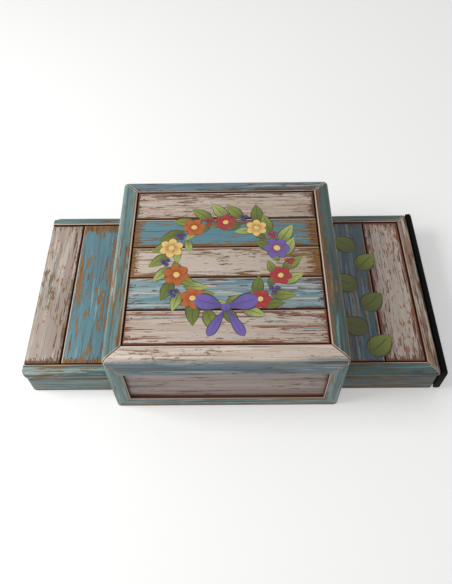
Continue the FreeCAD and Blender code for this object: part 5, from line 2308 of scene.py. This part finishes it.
@dataclass
class Jack(Assembly):
    """The figure on its spring: a turned body, a pleated ruff, a round head and a two-horned cap.

    Attributes:
        wire_gap: The wire's gap from the wood above and below it.
        body_ease, hem_step: The rounding of the body's foot, and the step at its hem.
        body_sag, body_steps: How far the body's slope sags, and the number of steps in it.
        hem_height, shoulder, neck_height: The heights of the hem, the shoulder and the flat top of the neck.
        bead_lift: How far the beads' middles are over the hem.
        ruff_middle, ruff_wave: The ruff's height, and how far its pleats rise and fall at its edge.
        ruff_flat: The share of that rise and fall at the neck.
        ruff_rings: The number of steps from the neck to the edge.
        ruff_spare: How much wider the cloth is cut than the ruff, all round; not used.
        cheek: The right cheek's angles to the side and up, in degrees.
        brim_roll, brim_inset: The radius of the rolled brim, and how far it is set into the dome.
        brim_middle, brim_top, brim_reach: The brim's middle and upper heights, and how far out it comes.
        horn_root, horn_bend, horn_tip: Three points that bend the right horn.
        cap_voxel, cap_easing: The steps that the cap is grown in, and how often it is eased.
        stitch_size: A stitch's half length and half thickness.
        stitch_lift, stitch_gap: Their height over the felt, and the angle left free at each end.
        bell_place, bell_band: The right bell's centre, and the radius of the band round it.
    """

    body: str = "jack"
    spring_foot: float = 10.0
    spring_top: float = 21.0
    spring_base_radius: float = 31.0
    spring_top_radius: float = 17.0
    spring_turns: float = 5.0
    wire_radius: float = 1.0
    wire_gap: float = 0.15
    body_radius: float = 28.0
    body_ease: float = 0.8
    hem_step: float = 0.5
    body_sag: float = 1.1
    body_steps: int = 14
    hem_height: float = 24.0
    shoulder: float = 34.3
    neck_height: float = 38.3
    neck_radius: float = 9.0
    stripes: int = 8
    beads: int = 40
    bead_radius: float = 1.3
    bead_lift: float = 0.3
    ruff_inside: float = 9.3
    ruff_outside: float = 24.0
    ruff_middle: float = 36.5
    ruff_wave: float = 1.2
    ruff_flat: float = 0.25
    ruff_pleats: int = 20
    pleat_steps: int = 14
    ruff_rings: int = 10
    ruff_cloth: float = 0.3
    ruff_hem: float = 1.6
    ruff_spare: float = 2.5
    head_centre: float = 51.3
    head_radius: float = 16.0
    nose_radius: float = 3.2
    cheek: tuple[float, float] = (38.0, -12.0)
    cap_radius: float = 18.5
    cap_edge: float = 56.1
    brim_roll: float = 1.5
    brim_inset: float = 0.6
    brim_middle: float = 57.0
    brim_top: float = 58.6
    brim_reach: float = 20.5
    horn_root: Point = (8.0, 0.0, 61.0)
    horn_bend: Point = (25.0, 0.0, 68.5)
    horn_tip: Point = (35.2, 0.0, 55.2)
    horn_base_radius: float = 7.0
    horn_tip_radius: float = 2.3
    cap_voxel: float = 0.6
    cap_easing: int = 6
    stitches: int = 22
    stitch_size: tuple[float, float] = (1.2, 0.28)
    stitch_lift: float = 0.05
    stitch_gap: float = 0.25
    bell_place: Point = (37.95, 0.0, 54.15)
    bell_radius: float = 3.6
    bell_band: float = 0.35

    def on_head(self, side: float, up: float, out: float = 0.0) -> Vector:
        """A point on the head's front.

        Args:
            side: The angle to the right, in degrees.
            up: The angle up, in degrees.
            out: How far outside the head.

        Returns:
            The point in metres.
        """
        turn, lift = math.radians(side), math.radians(up)
        way = Vector((math.sin(turn) * math.cos(lift), -math.cos(turn) * math.cos(lift), math.sin(lift)))
        return (Vector((0.0, 0.0, self.head_centre)) + way * (self.head_radius + out)) * MM

    def dome(self, radius: float, foot: float, steps: int) -> list[tuple[float, float]]:
        """The profile of a ball round the head's centre with a flat foot.

        Args:
            radius: The ball's radius.
            foot: The height of its foot.
            steps: The number of steps up its side.

        Returns:
            Radius and height of each point.
        """
        low = math.asin((foot - self.head_centre) / radius)
        lifts = [low + (math.pi / 2 - low) * step / steps for step in range(steps)]
        side = [(radius * math.cos(lift), self.head_centre + radius * math.sin(lift)) for lift in lifts]
        return [(0.0, foot), *side, (0.0, self.head_centre + radius)]

    def spring(self) -> None:
        """The coil, whose wire is carried along by its share between the case and the jack."""
        seat = self.wire_radius + self.wire_gap
        values = {"Turns": self.spring_turns, "Base Radius": self.spring_base_radius * MM,
                  "Top Radius": self.spring_top_radius * MM, "Wire Radius": self.wire_radius * MM,
                  "Rise": (self.spring_top - self.spring_foot - 2 * seat) * MM,
                  "Seat": (0.0, 0.0, (self.spring_foot + seat) * MM)}
        steel = Metal(Shade.STEEL, Shade.IRON, 0.25).dress("spring_wire")
        spring = SpringTree().settle("coil_spring", steel, values)
        shares = [0.0] * len(spring.data.vertices)
        spring.data.attributes["share"].data.foreach_get("value", shares)
        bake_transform(spring, "case", "jack", start=(0.0, 0.0, self.spring_foot * MM),
                 end=(0.0, 0.0, self.spring_top * MM))
        spring.data.attributes[BLEND_ATTRIBUTE].data.foreach_set("value", shares)
        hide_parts("jack_spring")
        LOG.info("%s stretches between case and jack", spring.name)

    def trunk(self) -> None:
        """The turned body with its hem of beads."""
        shape = bmesh.new()
        foot, hem, slope = self.spring_top, self.hem_height, self.body_radius - self.hem_step
        profile = [(0.0, foot), (self.body_radius - self.body_ease, foot),
                   (self.body_radius, foot + self.body_ease), (self.body_radius, hem - self.hem_step),
                   (slope, hem)]
        for step in range(1, self.body_steps + 1):
            share = step / self.body_steps
            sag = self.body_sag * math.sin(math.pi * share)
            profile.append((slope - (slope - self.neck_radius) * share - sag * 0.6,
                            hem + (self.shoulder - hem) * share - sag * 0.4))
        profile += [(self.neck_radius, self.neck_height), (0.0, self.neck_height)]
        lathe(shape, profile, 96)
        paint = StripedPaint(Shade.PURPLE, Shade.BUTTER, Shade.RED, self.stripes, hem)
        trunk = closed_object("jack_trunk", shape)
        self.show(trunk, paint.dress("trunk_paint"), "jack_body_paint", "jack_body")
        values = {"Count": self.beads, "Radius": (self.body_radius - self.bead_radius) * MM,
                  "Bead Radius": self.bead_radius * MM, "Centre": (0.0, 0.0, (hem + self.bead_lift) * MM)}
        brass = Metal(Shade.BRASS, Shade.BRASS_DARK, 0.3).dress("bead_brass")
        self.carry(BeadTree().settle("trunk_beads", brass, values), "brass")

    def ruff(self) -> None:
        """The pleated ruff, a gathered ring of linen."""
        shape = bmesh.new()
        around = self.ruff_pleats * self.pleat_steps
        rings = []
        for number in range(self.ruff_rings + 1):
            share = number / self.ruff_rings
            radius = self.ruff_inside + (self.ruff_outside - self.ruff_inside) * share
            ring = []
            for step, (cosine, sine) in enumerate(turns(around)):
                pleat = math.sin(self.ruff_pleats * math.tau * step / around)
                wave = self.ruff_wave * (self.ruff_flat + (1 - self.ruff_flat) * share)
                height = self.ruff_middle + wave * pleat
                ring.append(shape.verts.new(Vector((radius * cosine, radius * sine, height)) * MM))
            rings.append(ring)
        for ring, following in zip(rings, rings[1:]):
            for step in range(around):
                other = (step + 1) % around
                shape.faces.new((ring[step], following[step], following[other], ring[other]))
        area = sum(face.calc_area() for face in shape.faces)
        ruff = object_from("jack_ruff_cloth", shape, math.radians(80.0))
        wall = ruff.modifiers.new("cloth", "SOLIDIFY")
        wall.thickness = self.ruff_cloth * MM
        wall.offset = 0.0
        linen = Linen(self.ruff_outside - self.ruff_hem).dress("ruff_linen")
        self.show(ruff, linen, "ruff_cloth", "jack_ruff")

    def head(self) -> None:
        """The round head with its flat foot, and the face's details."""
        shape = bmesh.new()
        lathe(shape, self.dome(self.head_radius, self.neck_height, 28))
        skin = DollSkin(tuple(self.on_head(*self.cheek) * MM_PER_M)).dress("face_paint")
        self.show(closed_object("jack_face", shape), skin, "jack_skin_paint", "jack_head")
        self.face_part("jack_nose", FlatGloss(Shade.RED), [(0.0, 0.0, 0.0)], (self.nose_radius,) * 3)
        self.face_part("jack_eyes", FlatGloss(Shade.LINEN), [(-24.0, 4.0, -0.1), (24.0, 4.0, -0.1)],
                       (2.0, 2.4, 0.7))
        self.face_part("jack_pupils", FlatGloss(Shade.INK, 0.12), [(-23.0, 3.2, 0.35), (23.0, 3.2, 0.35)],
                       (1.1, 1.5, 0.5))
        self.smile(27, 0.7)

    def face_part(self, name: str, paint: FlatGloss, spots: Sequence[Point], size: Point) -> None:
        """Adds small raised details to the face.

        Args:
            name: The piece's name.
            paint: Its paint.
            spots: For each one the angle to the side and up, and how far out it is.
            size: The three radii of each one.
        """
        shape = bmesh.new()
        for spot in spots:
            place = self.on_head(*spot)
            ball_at(shape, place, size, place - Vector((0.0, 0.0, self.head_centre)) * MM)
        self.show(object_from(name, shape), paint.dress(f"{name}_paint"), "jack_skin_paint")

    def smile(self, reach: int, radius: float) -> None:
        """Adds the smile, a line that thins to its ends.

        Args:
            reach: The angle to each side that it comes to, in degrees.
            radius: Half its thickness.
        """
        shape = bmesh.new()
        path = [self.on_head(side, -31.0 + 9.0 * (side / reach) ** 2, -0.15)
                for side in range(-reach, reach + 1, 3)]
        shares = [(number + 0.6) / (len(path) + 0.2) for number in range(len(path))]
        radii = [radius * MM * (0.35 + 0.65 * math.sin(math.pi * share)) for share in shares]
        tube_rings(shape, path, radii, 10)
        red = FlatGloss(Shade.RED).dress("jack_smile_paint")
        self.show(closed_object("jack_smile", shape), red, "jack_skin_paint")

    def horn_path(self, sign: int, steps: int) -> tuple[list[Vector], list[float]]:
        """A horn's middle line and its radii, in metres.

        Args:
            sign: -1 for the left horn and 1 for the right one.
            steps: The number of steps along it.

        Returns:
            The points and the radii.
        """
        root, bend, tip = (Vector((sign * place[0], place[1], place[2]))
                           for place in (self.horn_root, self.horn_bend, self.horn_tip))
        path, radii = [], []
        for step in range(steps + 1):
            share = step / steps
            path.append((root * (1 - share) ** 2 + bend * 2 * share * (1 - share) + tip * share ** 2) * MM)
            radius = self.horn_base_radius + (self.horn_tip_radius - self.horn_base_radius) * share
            radii.append(radius * MM)
        return path, radii

    def cap(self) -> None:
        """The felt cap: a dome with a rolled brim and two stuffed horns, grown into one."""
        shape = bmesh.new()
        low = math.asin((self.cap_edge - self.head_centre) / self.cap_radius)
        lathe(shape, self.dome(self.cap_radius, self.cap_edge, 18))
        roll = self.cap_radius * math.cos(low) - self.brim_inset
        ring = [Vector((roll * cosine, roll * sine, self.brim_middle)) * MM
                for cosine, sine in turns(64) + turns(1)]
        tube_rings(shape, ring, [self.brim_roll * MM] * len(ring), 12)
        for sign in (-1, 1):
            tube_rings(shape, *self.horn_path(sign, 24), 20)
        blank = closed_object("cap_blank", shape)
        grown = blank.modifiers.new("grown", "REMESH")
        grown.mode = "VOXEL"
        grown.voxel_size = self.cap_voxel * MM
        blank.modifiers.new("eased", "SMOOTH").iterations = self.cap_easing
        mesh = settled_mesh(blank)
        mesh.polygons.foreach_set("use_smooth", [True] * len(mesh.polygons))
        mesh.materials.clear()
        felt = Felt(Shade.PURPLE, Shade.ORANGE, Shade.BUTTER, self.brim_top, self.brim_reach)
        cap = self.show(new_object("jack_cap_felt", mesh), felt.dress("cap_felt"), "cap_felt", "jack_cap")
        length, thickness = self.stitch_size
        values = {"Count": self.stitches, "Radius": (self.cap_radius + self.stitch_lift) * MM,
                  "First Angle": low + self.stitch_gap, "Last Angle": math.pi - low - self.stitch_gap,
                  "Centre": (0.0, 0.0, self.head_centre * MM), "Length": length * MM,
                  "Thickness": thickness * MM}
        thread = FlatGloss(Shade.LINEN, 0.8).dress("stitch_thread")
        self.carry(StitchTree().settle("cap_stitches", thread, values), "cap_felt")

    def bells(self) -> None:
        """A round bell at each horn's tip, with a band round it and a slit below, painted black as shade."""
        shape = bmesh.new()
        for sign in (-1, 1):
            centre = Vector((sign * self.bell_place[0], self.bell_place[1], self.bell_place[2])) * MM
            ball_at(shape, centre, (self.bell_radius,) * 3, Vector((0.0, 0.0, 1.0)), 32)
            band = [centre + Vector((cosine, sine, 0.0)) * self.bell_radius * MM * 0.98
                    for cosine, sine in turns(40) + turns(1)]
            tube_rings(shape, band, [self.bell_band * MM] * len(band), 8)
        brass = BellBrass(self.bell_place[2]).dress("bell_brass")
        self.show(object_from("jack_bell_pair", shape), brass, "brass", "jack_bells")

    def build(self) -> None:
        """Builds the figure from the spring up."""
        self.keep(BareWood(Axis.X, 12.0).dress("plate_wood"), "spring_plate")
        self.spring()
        self.trunk()
        self.ruff()
        self.head()
        self.cap()
        self.bells()


def wing_nails() -> list[Point]:
    """Where the wings' brads are: two at each end of each plank."""
    planks = [f"{side.value}_wing_{plank}_plank" for side in Side for plank in ("inner", "outer")]
    return [spot for plank in planks for spot in Box.of(plank).nail_spots(8.0, 5.0)]


def main() -> None:
    """Builds every piece in order."""
    logging.basicConfig(level=logging.INFO, format="%(name)s: %(message)s")
    Studio().build()
    Tower().build()
    lid = Lid()
    lid.build()
    Wing(Side.LEFT).build()
    Wing(Side.RIGHT).build()
    Release().build()
    Ironmongery().build()
    Garland().build()
    Sprig().build()
    NailHeads("lid", "lid_brads", lid.nails()).build()
    NailHeads("case", "wing_brads", wing_nails()).build()
    Jack().build()


if __name__ == "__main__":
    main()
